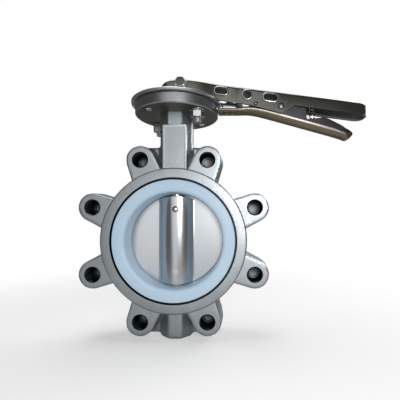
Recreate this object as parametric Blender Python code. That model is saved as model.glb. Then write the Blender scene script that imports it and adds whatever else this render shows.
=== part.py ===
"""Lug butterfly valve, DN100, with a pressed hand lever that latches in a notch plate.

Metres, +Z up. The origin is where the pipe axis (Y) meets the stem axis (Z), and the lever points
along +X with the disc closed. The side at -Y is called near, the side at +Y far.
"""

import math

import bmesh
import bpy
from mathutils import Matrix, Vector

# Fits: the gap between pieces that touch, and the gap of a pin or stem that turns
FIT = 0.0003
RUNNING = 0.0003

# Body: ring, lugs, neck, top flange and bottom boss
FACE_TO_FACE = 0.052
RING_WALL = 0.0100
RING_EDGE = 0.0018
LUG_COUNT = 8
LUG_REACH = 0.0150
LUG_TIP_R = 0.0155
LUG_TAPER = math.radians(6)
LUG_SETBACK = 0.0025
LUG_EDGE = 0.0018
LUG_HOLE_R = 0.0070
LUG_HOLE_DEPTH = 0.0195
LUG_HOLE_CHAMFER = 0.0013
NECK_FLATS = 0.0345
BOSS_FLATS = 0.0325
BOSS_FLOOR = 0.0105
FLANGE_R = 0.0445
FLANGE_THICK = 0.0105
NECK_LENGTH = 0.0590
FLANGE_EDGE = 0.0010
WEB_THICK = 0.0090
WEB_REACH = 0.0170
PAD_WIDTH = 0.0250
PAD_TOP_WIDTH = 0.0140
PAD_PROUD = 0.0016
PAD_TOP_LENGTH = 0.0140

# Seat: the liner, the elastomer behind it and the groove that shows round it
THROAT_R = 0.0488
SEAT_FLARE = 0.0012
SEAT_WALL = 0.0048
SEAT_FACE_REACH = 0.0092
SEAT_FLANGE = 0.0060
SEAT_PROUD = 0.0005
SEAT_ROUND = 0.0040
SEAT_GROOVE = 0.0010
BACKING_WALL = 0.0040

# Disc, its hub and its pins
DISC_GAP = 0.0004
DISC_THICK = 0.0090
HUB_WIDTH = 0.0360
HUB_DEPTH = 0.0276
DISC_PIN_R = 0.0030
DISC_PIN_INSET = 0.0154

# Stem and what holds it in the neck and the boss
STEM_R = 0.0080
STEM_SQUARE = 0.0110
STEM_SQUARE_LENGTH = 0.0110
BUSH_WALL = 0.0024
NECK_BUSH_LENGTH = 0.0220
BOSS_BUSH_LENGTH = 0.0300
PACKING_WALL = 0.0048
PACKING_COUNT = 3
PACKING_HEIGHT = 0.0050
GLAND_LENGTH = 0.0240
RETAINER_THICK = 0.0014
RETAINER_REACH = 0.0014
RETAINER_WIDTH = 0.0042
RETAINER_MOUTH = 0.0070
THRUST_PAD_THICK = 0.0030

# Notch plate and its screws
PLATE_OVERHANG = 0.0040
PLATE_THICK = 0.0025
NOTCH_COUNT = 7
NOTCH_PITCH = math.radians(15)
NOTCH_WIDTH = 0.0070
SCREW_COUNT = 4
SCREW_INSET = 0.0095
SCREW_R = 0.0040
SCREW_HEAD_R = 0.0076
SCREW_TAIL = 0.0135
SHORT_SCREW_TAIL = 0.0010
SCREW_WASHER_R = 0.0080
SCREW_WASHER_THICK = 0.0016
SCREW_NUT_FLATS = 0.0130
SCREW_NUT_HEIGHT = 0.0065

# Lever: a pressed channel with a wider head
LEVER_SHEET = 0.0022
LEVER_WIDTH = 0.0240
LEVER_END_X = 0.2055
LEVER_BEND_X = 0.0140
LEVER_SLOPE = math.radians(7.4)
LEVER_EDGE_R = 0.0030
LEVER_END_R = 0.0085
LEVER_LIFT = 0.0012
HEAD_WIDTH = 0.0300
HEAD_BACK = 0.0195
HEAD_HEIGHT = 0.0220
HEAD_CORNER_R = 0.0110
HEAD_ROUND_R = 0.0220
TAPER_START_X = 0.0200
TAPER_END_X = 0.0500
TAPER_R = 0.0250
WALL_STEP_R = 0.0020
RIM_CLEAR = 0.0030
HUB_BLOCK_FRONT = 0.0170
HUB_BLOCK_BACK = 0.0150
HUB_BLOCK_CORNER_R = 0.0065

# Depth of the lever's walls below its top: distance along the lever and depth
WALL_START_DEPTH = 0.0178
WALL_DEPTHS = (
    (0.0800, 0.0182),
    (0.1126, 0.0226),
    (0.1260, 0.0124),
)
WALL_END_DEPTH = 0.0124

# Punched holes in both lever walls: distance along the lever, length and height
HOLES = (
    (0.0484, 0.0140, 0.0075),
    (0.0760, 0.0095, 0.0095),
    (0.1007, 0.0155, 0.0076),
)
HOLE_DROP = 0.0078

# Cross bolt through the lever's head
HEAD_BOLT_X = 0.0060
HEAD_BOLT_DROP = 0.0058
HEAD_BOLT_R = 0.0030
HEAD_BOLT_FLATS = 0.0100
HEAD_BOLT_HEIGHT = 0.0042
HEAD_NUT_HEIGHT = 0.0050
HEAD_WASHER_R = 0.0062
HEAD_WASHER_THICK = 0.0012
HEAD_BOLT_TAIL = 0.0020

# Trigger: an upward-open channel that swings between the lever's walls
TRIGGER_SHEET = 0.0020
TRIGGER_GAP = 0.0006
TRIGGER_NOSE_DROP = 0.0085
TRIGGER_BEND_X = 0.0810
TRIGGER_BEND_R = 0.0600
TRIGGER_SLOPE = math.radians(15.4)
TRIGGER_TAIL_X = 0.1880
TRIGGER_TAIL_RUN = 0.0040
TRIGGER_TAIL_RISE = 0.0050
TRIGGER_TAIL_R = 0.0030
TRIGGER_RIM_R = 0.0120
SCOOP_GAP = 0.0049
SCOOP_RUN = 0.0040
SCOOP_R = 0.0010
SCOOP_HEIGHT = 0.0028
TRIGGER_EDGE_R = 0.0036
EAR_R = 0.0052
PANEL_X = 0.1388
PANEL_DROP = 0.0027
PANEL_CORNER_R = 0.0020
PIVOT_X = 0.1120
PIVOT_DROP = 0.0043
PIVOT_R = 0.0025
PIVOT_HEAD_R = 0.0034
PIVOT_HEAD_THICK = 0.0012
PIVOT_CLIP_R = 0.0044
PIVOT_CLIP_THICK = 0.0010
PIN_PROUD = 0.0010
STOP_X = 0.0850
STOP_DROP = 0.0017
STOP_R = 0.0020

# Depth of the trigger's walls behind their tall panel: distance along the lever and depth
TRIGGER_DEPTHS = (
    (0.1400, 0.0076),
    (0.1590, 0.0142),
    (0.1780, 0.0108),
)

# Latch tooth and its rivets
TOOTH_GAP = 0.0005
TOOTH_RIM_GAP = 0.0016
TOOTH_BASE_LENGTH = 0.0140
TOOTH_BASE_HEIGHT = 0.0045
RIVET_R = 0.0015
RIVET_HEAD_R = 0.0026
RIVET_HEAD_THICK = 0.0012

# Spring between lever and trigger
SPRING_X = 0.1480
SPRING_WIRE_R = 0.0005
SPRING_COIL_R = 0.0028
SPRING_TURNS = 8
SPRING_TURN_POINTS = 9
PEG_R = 0.0017
PEG_LENGTH = 0.0070

# Facets of round shapes
ROUND_STEPS = 48
BORE_STEPS = 20
SMALL_STEPS = 12
ARC_STEPS = 3
SPHERE_STEPS = 64
WELD = 1e-6
PAST = 0.005

# Places that follow from the sizes above
FACE_Y = FACE_TO_FACE / 2
LUG_Y = FACE_Y - LUG_SETBACK
SEAT_Y = FACE_Y + SEAT_PROUD
SEAT_MOUTH_R = THROAT_R + SEAT_FLARE
SEAT_BARREL_R = SEAT_MOUTH_R + SEAT_WALL
SEAT_FACE_R = SEAT_BARREL_R + SEAT_FACE_REACH
BODY_BORE_R = SEAT_BARREL_R + BACKING_WALL + 2 * FIT
SEAT_RECESS_R = SEAT_FACE_R + SEAT_GROOVE
RING_R = SEAT_RECESS_R + RING_WALL
BOLT_CIRCLE_R = RING_R + LUG_REACH
SEAT_RECESS_Y = SEAT_Y - SEAT_FLANGE - FIT
DISC_R = THROAT_R - DISC_GAP
DISC_PIN_Z = DISC_R - DISC_PIN_INSET
STEM_BORE_R = STEM_R + BUSH_WALL + RUNNING + FIT
PACKING_BORE_R = STEM_R + PACKING_WALL + RUNNING + FIT
FLANGE_Z = RING_R + NECK_LENGTH
FLANGE_TOP_Z = FLANGE_Z + FLANGE_THICK
PLATE_Z = FLANGE_TOP_Z + FIT
PLATE_TOP_Z = PLATE_Z + PLATE_THICK
RETAINER_Z = FLANGE_TOP_Z - 2 * RETAINER_THICK
GLAND_TOP_Z = RETAINER_Z - FIT
GLAND_Z = GLAND_TOP_Z - GLAND_LENGTH
PACKING_Z = GLAND_Z - FIT - PACKING_COUNT * (PACKING_HEIGHT + FIT)
PACKING_FLOOR_Z = PACKING_Z - FIT
NECK_BUSH_Z = SEAT_BARREL_R + BACKING_WALL + 2 * FIT
BOSS_BUSH_Z = -NECK_BUSH_Z - BOSS_BUSH_LENGTH
THRUST_PAD_Z = BOSS_BUSH_Z - FIT - THRUST_PAD_THICK
BOSS_BORE_Z = THRUST_PAD_Z - FIT
BOSS_Z = BOSS_BORE_Z - BOSS_FLOOR
STEM_Z = THRUST_PAD_Z + THRUST_PAD_THICK + FIT
STEM_SHOULDER_Z = PLATE_TOP_Z + FIT
STEM_TOP_Z = STEM_SHOULDER_Z + STEM_SQUARE_LENGTH
PLATE_R = FLANGE_R + PLATE_OVERHANG
NOTCH_FLOOR_R = FLANGE_R + FIT
SCREW_CIRCLE_R = FLANGE_R - SCREW_INSET
HEAD_TOP_Z = PLATE_TOP_Z + LEVER_LIFT + HEAD_HEIGHT
LEVER_RIM_Z = PLATE_TOP_Z + LEVER_LIFT
HEAD_BOLT_Z = HEAD_TOP_Z - HEAD_BOLT_DROP
HEAD_SIDE_Y = HEAD_WIDTH / 2
LEVER_SIDE_Y = LEVER_WIDTH / 2
TRIGGER_SIDE_Y = LEVER_SIDE_Y - LEVER_SHEET - TRIGGER_GAP
TRIGGER_INSIDE_Y = TRIGGER_SIDE_Y - TRIGGER_SHEET
TRIGGER_NOSE_Z = PLATE_TOP_Z - TRIGGER_NOSE_DROP
PIVOT_Z = PLATE_TOP_Z - PIVOT_DROP
STOP_Z = PLATE_TOP_Z - STOP_DROP
TRIGGER_TOP_Z = STOP_Z - STOP_R - FIT
TOOTH_X = NOTCH_FLOOR_R + FIT
TOOTH_BASE_X = PLATE_R + TOOTH_RIM_GAP
TOOTH_FLOOR_Z = TRIGGER_NOSE_Z + TRIGGER_SHEET + FIT
SCOOP_X = TOOTH_BASE_X + TOOTH_BASE_LENGTH + SCOOP_GAP


def clear_scene():
    for obj in list(bpy.data.objects):
        bpy.data.objects.remove(obj)


def object_from(name, bm):
    mesh = bpy.data.meshes.new(name)
    bmesh.ops.recalc_face_normals(bm, faces=bm.faces)
    bm.to_mesh(mesh)
    bm.free()
    obj = bpy.data.objects.new(name, mesh)
    bpy.context.scene.collection.objects.link(obj)
    return obj


def placed(along, u, v, height):
    """A point of an outline (u, v) at a height along the named axis."""
    return {"X": (height, u, v), "Y": (u, height, v), "Z": (u, v, height)}[along]


def prism(name, outline, low, high, along="Z"):
    """A straight solid of an outline, from low to high along an axis."""
    bm = bmesh.new()
    base = bm.faces.new([bm.verts.new(placed(along, u, v, low)) for u, v in outline])
    grown = bmesh.ops.extrude_face_region(bm, geom=[base])["geom"]
    moved = [part for part in grown if isinstance(part, bmesh.types.BMVert)]
    bmesh.ops.translate(bm, verts=moved, vec=placed(along, 0, 0, high - low))
    return object_from(name, bm)


def turned(name, profile, steps, along="Z", ring=False):
    """A turned solid of a profile (radius, height). A ring's profile closes on itself."""
    bm = bmesh.new()
    points = [bm.verts.new((radius, 0, height)) for radius, height in profile]
    ends = points[1:] + points[:1] if ring else points[1:]
    edges = [bm.edges.new(pair) for pair in zip(points, ends)]
    bmesh.ops.spin(
        bm, geom=points + edges, cent=(0, 0, 0), axis=(0, 0, 1), angle=math.tau, steps=steps, use_merge=True
    )
    bmesh.ops.remove_doubles(bm, verts=bm.verts, dist=WELD)
    if along == "Y":
        bmesh.ops.rotate(bm, verts=bm.verts, matrix=Matrix.Rotation(-math.pi / 2, 3, "X"))
    return object_from(name, bm)


def rod(name, radius, low, high, steps, along="Z"):
    return turned(name, [(0, low), (radius, low), (radius, high), (0, high)], steps, along)


def tube(name, inner, outer, low, high, steps, along="Z"):
    return turned(name, [(inner, low), (outer, low), (outer, high), (inner, high)], steps, along, ring=True)


def boolean(target, other, operation):
    """Joins another solid to the target, or cuts it out, and removes the other solid."""
    modifier = target.modifiers.new(operation.lower(), "BOOLEAN")
    modifier.object = other
    modifier.operation = operation
    graph = bpy.context.evaluated_depsgraph_get()
    result = bpy.data.meshes.new_from_object(target.evaluated_get(graph))
    target.modifiers.clear()
    target.data = result
    bpy.data.objects.remove(other)
    bm = bmesh.new()
    bm.from_mesh(result)
    bmesh.ops.remove_doubles(bm, verts=bm.verts, dist=WELD)
    bmesh.ops.dissolve_degenerate(bm, edges=bm.edges, dist=WELD)
    bm.to_mesh(result)
    bm.free()


def join(target, *others):
    for other in others:
        boolean(target, other, "UNION")


def cut(target, *others):
    for other in others:
        boolean(target, other, "DIFFERENCE")


def move(obj, x=0, y=0, z=0):
    obj.data.transform(Matrix.Translation((x, y, z)))
    return obj


def rounded(corners):
    """An outline from corners (u, v, radius), with an arc at each corner that has a radius."""
    outline = []
    for i, (u, v, radius) in enumerate(corners):
        here = Vector((u, v))
        if not radius:
            outline.append(here)
            continue
        back = (Vector(corners[i - 1][:2]) - here).normalized()
        ahead = (Vector(corners[(i + 1) % len(corners)][:2]) - here).normalized()
        half = back.angle(ahead) / 2
        centre = here + (back + ahead).normalized() * radius / math.sin(half)
        start = (here + back * radius / math.tan(half) - centre).normalized()
        end = (here + ahead * radius / math.tan(half) - centre).normalized()
        for step in range(ARC_STEPS + 1):
            outline.append(centre + start.slerp(end, step / ARC_STEPS) * radius)
    return outline


def regular(sides, flats):
    """A regular outline with this size across its flats and a flat side at +u."""
    corner = flats / 2 / math.cos(math.pi / sides)
    turns = [(i + 0.5) * math.tau / sides for i in range(sides)]
    return [(corner * math.cos(turn), corner * math.sin(turn)) for turn in turns]


def rectangle(low_u, high_u, low_v, high_v):
    return [(low_u, low_v), (high_u, low_v), (high_u, high_v), (low_u, high_v)]


def bevel_edges(obj, wanted, width, segments):
    """Rounds the edges of an object that a test picks."""
    bm = bmesh.new()
    bm.from_mesh(obj.data)
    edges = [edge for edge in bm.edges if wanted(edge)]
    bmesh.ops.bevel(bm, geom=edges, offset=width, segments=segments, profile=0.5, affect="EDGES")
    bm.to_mesh(obj.data)
    bm.free()
    return obj


def material(name, colour, roughness, metallic):
    made = bpy.data.materials.new(name)
    made.use_nodes = True
    shader = made.node_tree.nodes["Principled BSDF"]
    shader.inputs["Base Color"].default_value = (*colour, 1)
    shader.inputs["Roughness"].default_value = roughness
    shader.inputs["Metallic"].default_value = metallic
    return made


def finish(obj, look, axis=None):
    """Gives a piece its material and smooth shading, and hangs it on its joint's axis."""
    obj.data.materials.clear()
    obj.data.materials.append(look)
    obj.data.shade_smooth()
    obj.data.set_sharp_from_angle(angle=math.radians(32))
    if axis:
        obj.parent = axis
        obj.matrix_parent_inverse = Matrix.Translation(-axis.location)
    return obj


def axis_empty(name, place):
    empty = bpy.data.objects.new(name, None)
    empty.location = place
    bpy.context.scene.collection.objects.link(empty)
    return empty


def lug_outline(turn):
    """A lug seen along the pipe, round at its tip and wider towards the ring."""
    reach = math.pi / 2 - LUG_TAPER
    steps = 3 * ARC_STEPS
    sweep = [reach * (2 * i / steps - 1) for i in range(steps + 1)]
    tip = [(BOLT_CIRCLE_R + LUG_TIP_R * math.cos(a), LUG_TIP_R * math.sin(a)) for a in sweep]
    root_u = BODY_BORE_R + PAST
    root_v = tip[-1][1] + (tip[-1][0] - root_u) * math.tan(LUG_TAPER)
    local = tip + [(root_u, root_v), (root_u, -root_v)]
    cos, sin = math.cos(turn), math.sin(turn)
    return [(u * cos - v * sin, u * sin + v * cos) for u, v in local]


def lug(turn):
    solid = prism("lug", lug_outline(turn), -LUG_Y, LUG_Y, "Y")
    on_face = lambda edge: edge.verts[0].co.y == edge.verts[1].co.y
    outside = lambda edge: (edge.verts[0].co + edge.verts[1].co).xz.length / 2 > RING_R
    return bevel_edges(solid, lambda edge: on_face(edge) and outside(edge), LUG_EDGE, 1)


def lug_holes(turn):
    """The two blind tapped holes of a lug, one from each face, chamfered at the mouth."""
    wide = LUG_HOLE_R + LUG_HOLE_CHAMFER
    floor = LUG_Y - LUG_HOLE_DEPTH
    profile = [(0, floor), (LUG_HOLE_R, floor), (LUG_HOLE_R, LUG_Y - LUG_HOLE_CHAMFER)]
    profile += [(wide, LUG_Y), (wide, FACE_Y), (0, FACE_Y)]
    x, z = BOLT_CIRCLE_R * math.cos(turn), BOLT_CIRCLE_R * math.sin(turn)
    far = turned("lug_hole", profile, SMALL_STEPS, "Y")
    near = turned("lug_hole", [(radius, -height) for radius, height in profile], SMALL_STEPS, "Y")
    return move(far, x, 0, z), move(near, x, 0, z)


def lug_turns():
    return [(i + 0.5) * math.tau / LUG_COUNT for i in range(LUG_COUNT)]


def screw_places():
    turns = [(i + 0.5) * math.tau / SCREW_COUNT for i in range(SCREW_COUNT)]
    return [(SCREW_CIRCLE_R * math.cos(turn), SCREW_CIRCLE_R * math.sin(turn)) for turn in turns]


def web(low_z, high_z):
    """A thin mid-plane web between the two lugs nearest to the stem axis."""
    reach = BOLT_CIRCLE_R * math.sin(math.pi / LUG_COUNT)
    return prism("web", rectangle(-reach, reach, low_z, high_z), -WEB_THICK / 2, WEB_THICK / 2, "Y")


def countersunk(gap, tail):
    """A countersunk screw's profile from its flush head to a tail below the flange, grown by a gap."""
    top = PLATE_TOP_Z
    cone = SCREW_HEAD_R - SCREW_R
    low = FLANGE_Z - tail
    return [(0, low), (SCREW_R + gap, low), (SCREW_R + gap, top - cone), (SCREW_HEAD_R + gap, top), (0, top)]


def screw_hole(x, y):
    """The space that a plate screw needs, through the plate and the flange."""
    bore = countersunk(FIT, SCREW_TAIL)
    head_r, top = bore[3]
    profile = bore[:4] + [(head_r, top + PAST), (0, top + PAST)]
    return move(turned("screw_hole", profile, SMALL_STEPS), x, y)


def make_body(look):
    ring = [(0, -FACE_Y), (RING_R - RING_EDGE, -FACE_Y), (RING_R, -FACE_Y + 2 * RING_EDGE)]
    ring += [(radius, -height) for radius, height in reversed(ring)]
    body = turned("valve_body", ring, ROUND_STEPS, "Y")
    join(body, *[lug(turn) for turn in lug_turns()])

    lug_z = BOLT_CIRCLE_R * math.cos(math.pi / LUG_COUNT)
    neck = prism("neck", regular(8, NECK_FLATS), BODY_BORE_R, FLANGE_Z + FLANGE_THICK / 2)
    boss = prism("boss", regular(8, BOSS_FLATS), BOSS_Z, -BODY_BORE_R)
    join(body, neck, boss)
    join(body, web(BODY_BORE_R, lug_z + WEB_REACH), web(-lug_z - WEB_REACH, -BODY_BORE_R))

    edge_r = FLANGE_R - FLANGE_EDGE
    flange = [(0, FLANGE_Z), (edge_r, FLANGE_Z), (FLANGE_R, FLANGE_Z + FLANGE_EDGE)]
    flange += [(FLANGE_R, FLANGE_TOP_Z - FLANGE_EDGE), (edge_r, FLANGE_TOP_Z), (0, FLANGE_TOP_Z)]
    join(body, turned("flange", flange, ROUND_STEPS))

    step_z = FLANGE_Z - PAD_TOP_LENGTH
    half, half_top = PAD_WIDTH / 2, PAD_TOP_WIDTH / 2
    right = [(half, RING_R - PAST), (half, step_z), (half_top, step_z), (half_top, FLANGE_Z + FLANGE_EDGE)]
    outline = right + [(-x, z) for x, z in reversed(right)]
    join(body, prism("pad", outline, -NECK_FLATS / 2 - PAD_PROUD, -NECK_FLATS / 4, "Y"))

    cut(body, rod("bore", BODY_BORE_R, -FACE_Y - PAST, FACE_Y + PAST, ROUND_STEPS, "Y"))
    for low, high in ((-FACE_Y - PAST, -SEAT_RECESS_Y), (SEAT_RECESS_Y, FACE_Y + PAST)):
        cut(body, rod("seat_recess", SEAT_RECESS_R, low, high, ROUND_STEPS, "Y"))
    for turn in lug_turns():
        cut(body, *lug_holes(turn))
    cut(body, rod("stem_bore", STEM_BORE_R, BOSS_BORE_Z, FLANGE_Z, BORE_STEPS))
    cut(body, rod("packing_bore", PACKING_BORE_R, PACKING_FLOOR_Z, FLANGE_TOP_Z + PAST, BORE_STEPS))
    groove = (RETAINER_Z - FIT, RETAINER_Z + RETAINER_THICK + FIT)
    cut(body, rod("groove", PACKING_BORE_R + RETAINER_REACH + FIT, *groove, BORE_STEPS))
    cut(body, *[screw_hole(x, y) for x, y in screw_places()])
    finish(body, look)


def stem_hole(radius):
    return rod("stem_hole", radius, -BODY_BORE_R - PAST, BODY_BORE_R + PAST, BORE_STEPS)


def make_seat(liner_look, backing_look):
    """The liner has a flat face on each side that turns in round a soft edge to the throat."""
    bend_r, bend_y = SEAT_MOUTH_R + SEAT_ROUND, SEAT_Y - SEAT_ROUND
    turns = [math.pi / 2 * i / ARC_STEPS for i in range(ARC_STEPS + 1)]
    mouth = [(bend_r - SEAT_ROUND * math.sin(a), bend_y + SEAT_ROUND * math.cos(a)) for a in turns]
    flange_y = SEAT_Y - SEAT_FLANGE
    far = [(SEAT_BARREL_R, 0), (SEAT_BARREL_R, flange_y), (SEAT_FACE_R, flange_y), (SEAT_FACE_R, SEAT_Y)]
    far += mouth + [(THROAT_R, 0)]
    near = [(radius, -height) for radius, height in reversed(far[1:-1])]
    liner = turned("seat_liner", far + near, ROUND_STEPS, "Y", ring=True)
    cut(liner, stem_hole(STEM_R + RUNNING))
    finish(liner, liner_look)

    half = flange_y - FIT
    inner = SEAT_BARREL_R + FIT
    backing = tube("seat_backing", inner, inner + BACKING_WALL, -half, half, ROUND_STEPS, "Y")
    cut(backing, stem_hole(STEM_R + RUNNING))
    finish(backing, backing_look)


def hub_outline():
    """The disc seen along the stem: flat wings that rise in a smooth bell to the hub."""
    wing, peak, reach = DISC_THICK / 2, HUB_DEPTH / 2, HUB_WIDTH / 2
    steps = 6 * ARC_STEPS
    xs = [reach * (1 - 2 * i / steps) for i in range(steps + 1)]
    bell = [(x, wing + (peak - wing) * math.cos(math.pi / 2 * x / reach) ** 2) for x in xs]
    far = [(DISC_R + PAST, wing)] + bell + [(-DISC_R - PAST, wing)]
    return far + [(x, -y) for x, y in reversed(far)]


def make_disc(disc_look, pin_look, axis):
    disc = prism("disc", hub_outline(), -DISC_R - PAST, DISC_R + PAST)
    bm = bmesh.new()
    bmesh.ops.create_uvsphere(bm, u_segments=SPHERE_STEPS, v_segments=SPHERE_STEPS // 2, radius=DISC_R)
    bmesh.ops.rotate(bm, verts=bm.verts, matrix=Matrix.Rotation(math.pi / 2, 3, "X"))
    boolean(disc, object_from("sphere", bm), "INTERSECT")
    cut(disc, stem_hole(STEM_R + FIT))
    half = HUB_DEPTH / 2
    for name, z in (("disc_pin_upper", DISC_PIN_Z), ("disc_pin_lower", -DISC_PIN_Z)):
        hole = rod("pin_hole", DISC_PIN_R + FIT, -half - PAST, half + PAST, SMALL_STEPS, "Y")
        cut(disc, move(hole, z=z))
        finish(move(rod(name, DISC_PIN_R, -half, half, SMALL_STEPS, "Y"), z=z), pin_look, axis)
    finish(disc, disc_look, axis)


def make_stem(look, axis):
    """A round stem with a square end for the lever, cross-drilled for the disc's pins."""
    stem = rod("stem", STEM_R, STEM_Z, STEM_SHOULDER_Z, BORE_STEPS)
    join(stem, prism("square", regular(4, STEM_SQUARE), STEM_SHOULDER_Z - PAST, STEM_TOP_Z))
    for z in (DISC_PIN_Z, -DISC_PIN_Z):
        reach = STEM_R + PAST
        cut(stem, move(rod("pin_hole", DISC_PIN_R + FIT, -reach, reach, SMALL_STEPS, "Y"), z=z))
    finish(stem, look, axis)


def make_stem_fittings(bush_look, packing_look, ring_look):
    inner = STEM_R + RUNNING
    bush_r = STEM_BORE_R - FIT
    packing_r = PACKING_BORE_R - FIT
    neck_bush = tube("neck_bush", inner, bush_r, NECK_BUSH_Z, NECK_BUSH_Z + NECK_BUSH_LENGTH, BORE_STEPS)
    finish(neck_bush, bush_look)
    boss_bush = tube("boss_bush", inner, bush_r, BOSS_BUSH_Z, BOSS_BUSH_Z + BOSS_BUSH_LENGTH, BORE_STEPS)
    finish(boss_bush, bush_look)
    finish(tube("gland_bush", inner, packing_r, GLAND_Z, GLAND_TOP_Z, BORE_STEPS), bush_look)
    for i in range(PACKING_COUNT):
        low = PACKING_Z + i * (PACKING_HEIGHT + FIT)
        high = low + PACKING_HEIGHT
        finish(tube(f"packing_ring_{i + 1}", inner, packing_r, low, high, BORE_STEPS), packing_look)
    finish(rod("thrust_pad", bush_r, THRUST_PAD_Z, THRUST_PAD_Z + THRUST_PAD_THICK, BORE_STEPS), bush_look)

    outer = PACKING_BORE_R + RETAINER_REACH
    top = RETAINER_Z + RETAINER_THICK
    ring = tube("retaining_ring", outer - RETAINER_WIDTH, outer, RETAINER_Z, top, BORE_STEPS)
    half = RETAINER_MOUTH / 2
    cut(ring, prism("mouth", rectangle(0, outer + PAST, -half, half), RETAINER_Z - PAST, top + PAST))
    finish(ring, ring_look)


def make_notch_plate(look):
    plate = tube("notch_plate", STEM_R + RUNNING, PLATE_R, PLATE_Z, PLATE_TOP_Z, ROUND_STEPS)
    half = NOTCH_WIDTH / 2
    for i in range(NOTCH_COUNT):
        outline = rectangle(NOTCH_FLOOR_R, PLATE_R + PAST, -half, half)
        notch = prism("notch", outline, PLATE_Z - PAST, PLATE_TOP_Z + PAST)
        notch.data.transform(Matrix.Rotation(i * NOTCH_PITCH, 4, "Z"))
        cut(plate, notch)
    cut(plate, *[screw_hole(x, y) for x, y in screw_places()])
    finish(plate, look)


def make_plate_screws(look):
    """Countersunk screws from above. Every second one is long and has a washer and a nut below."""
    washer_z = FLANGE_Z - FIT - SCREW_WASHER_THICK
    nut_z = washer_z - FIT - SCREW_NUT_HEIGHT
    hole_r = SCREW_R + FIT
    for i, (x, y) in enumerate(screw_places(), 1):
        long = i % 2 == 0
        tail = SCREW_TAIL if long else SHORT_SCREW_TAIL
        screw = turned(f"plate_screw_{i}", countersunk(0, tail), SMALL_STEPS)
        finish(move(screw, x, y), look)
        if not long:
            continue
        washer = tube(f"plate_washer_{i}", hole_r, SCREW_WASHER_R, 0, SCREW_WASHER_THICK, SMALL_STEPS)
        nut = prism(f"plate_nut_{i}", regular(6, SCREW_NUT_FLATS), 0, SCREW_NUT_HEIGHT)
        cut(nut, rod("thread", hole_r, -PAST, SCREW_NUT_HEIGHT + PAST, SMALL_STEPS))
        for piece, z in ((washer, washer_z), (nut, nut_z)):
            piece.location = (x, y, z)
            finish(piece, look)


def lever_top(x):
    """Height of the lever's top: round over the head's back, level, then sloping from the bend."""
    drop = HEAD_ROUND_R - math.sqrt(HEAD_ROUND_R**2 - min(x, 0) ** 2)
    return HEAD_TOP_Z - drop - max(0, x - LEVER_BEND_X) * math.tan(LEVER_SLOPE)


def lever_block(inset, floor_z):
    """The lever's outer shape, or its inside at a wall's thickness, down to a floor."""
    side, head = LEVER_SIDE_Y - inset, HEAD_SIDE_Y - inset
    end, back = LEVER_END_X - inset, inset - HEAD_BACK
    corner_r = HEAD_CORNER_R - inset
    far_half = [
        (end, side, LEVER_END_R - inset),
        (TAPER_END_X, side, TAPER_R),
        (TAPER_START_X, head, TAPER_R),
        (back, head, corner_r),
    ]
    near_half = [(x, -y, radius) for x, y, radius in reversed(far_half)]
    block = prism("lever", rounded(far_half + near_half), floor_z, HEAD_TOP_Z - inset)
    bm = bmesh.new()
    bm.from_mesh(block.data)
    turns = [math.pi / 2 * i / ARC_STEPS for i in range(ARC_STEPS)]
    corner = [back + corner_r * (1 - math.sin(turn)) for turn in turns]
    for x in [LEVER_BEND_X, 0, corner[0] / 2] + corner:
        everything = bm.verts[:] + bm.edges[:] + bm.faces[:]
        bmesh.ops.bisect_plane(bm, geom=everything, dist=WELD, plane_co=(x, 0, 0), plane_no=(1, 0, 0))
    for vert in bm.verts:
        if vert.co.z > floor_z + PAST:
            vert.co.z = lever_top(vert.co.x) - inset
    bm.normal_update()
    bm.to_mesh(block.data)
    bm.free()

    def on_rim(edge):
        steep = sorted(abs(face.normal.z) < 0.1 for face in edge.link_faces)
        return steep == [False, True] and edge.verts[0].co.z > floor_z + PAST

    return bevel_edges(block, on_rim, LEVER_EDGE_R - inset, 2)


def slot_outline(along, length, height):
    """A round-ended hole in the lever's wall, in line with the lever's slope."""
    run = (length - height) / 2
    turns = [math.pi * i / (2 * ARC_STEPS) - math.pi / 2 for i in range(2 * ARC_STEPS + 1)]
    ahead = [(run + height / 2 * math.cos(a), height / 2 * math.sin(a)) for a in turns]
    local = ahead + [(-u, -v) for u, v in ahead]
    if run == 0:
        local = ahead[:-1] + [(-u, -v) for u, v in ahead[:-1]]
    cos, sin = math.cos(LEVER_SLOPE), math.sin(LEVER_SLOPE)
    centre_z = lever_top(along) - HOLE_DROP
    return [(along + u * cos + v * sin, centre_z - u * sin + v * cos) for u, v in local]


def cross_hole(x, z, radius):
    """A hole across the lever through both walls."""
    reach = HEAD_SIDE_Y + PAST
    return move(rod("cross_hole", radius, -reach, reach, SMALL_STEPS, "Y"), x, 0, z)


def make_lever(look, axis):
    floor_z = lever_top(LEVER_END_X) - WALL_START_DEPTH - 2 * PAST
    lever = lever_block(0, floor_z)
    cut(lever, lever_block(LEVER_SHEET, floor_z - PAST))
    reach = HEAD_SIDE_Y + PAST
    past_rim_x = PLATE_R + RIM_CLEAR
    past_end_x = LEVER_END_X + PAST
    edge = [(-HEAD_BACK - PAST, LEVER_RIM_Z, 0), (past_rim_x, LEVER_RIM_Z, 0)]
    edge += [(past_rim_x, lever_top(past_rim_x) - WALL_START_DEPTH, 0)]
    edge += [(x, lever_top(x) - depth, WALL_STEP_R) for x, depth in WALL_DEPTHS]
    edge += [(past_end_x, lever_top(past_end_x) - WALL_END_DEPTH, 0)]
    below = rounded(edge + [(past_end_x, floor_z - 2 * PAST, 0), (-HEAD_BACK - PAST, floor_z - 2 * PAST, 0)])
    cut(lever, prism("below", below, -reach, reach, "Y"))
    cut(lever, *[prism("slot", slot_outline(*hole), -reach, reach, "Y") for hole in HOLES])
    cut(lever, cross_hole(HEAD_BOLT_X, HEAD_BOLT_Z, HEAD_BOLT_R + FIT))
    cut(lever, cross_hole(PIVOT_X, PIVOT_Z, PIVOT_R + FIT))
    cut(lever, cross_hole(STOP_X, STOP_Z, STOP_R + FIT))
    finish(lever, look, axis)


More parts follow.
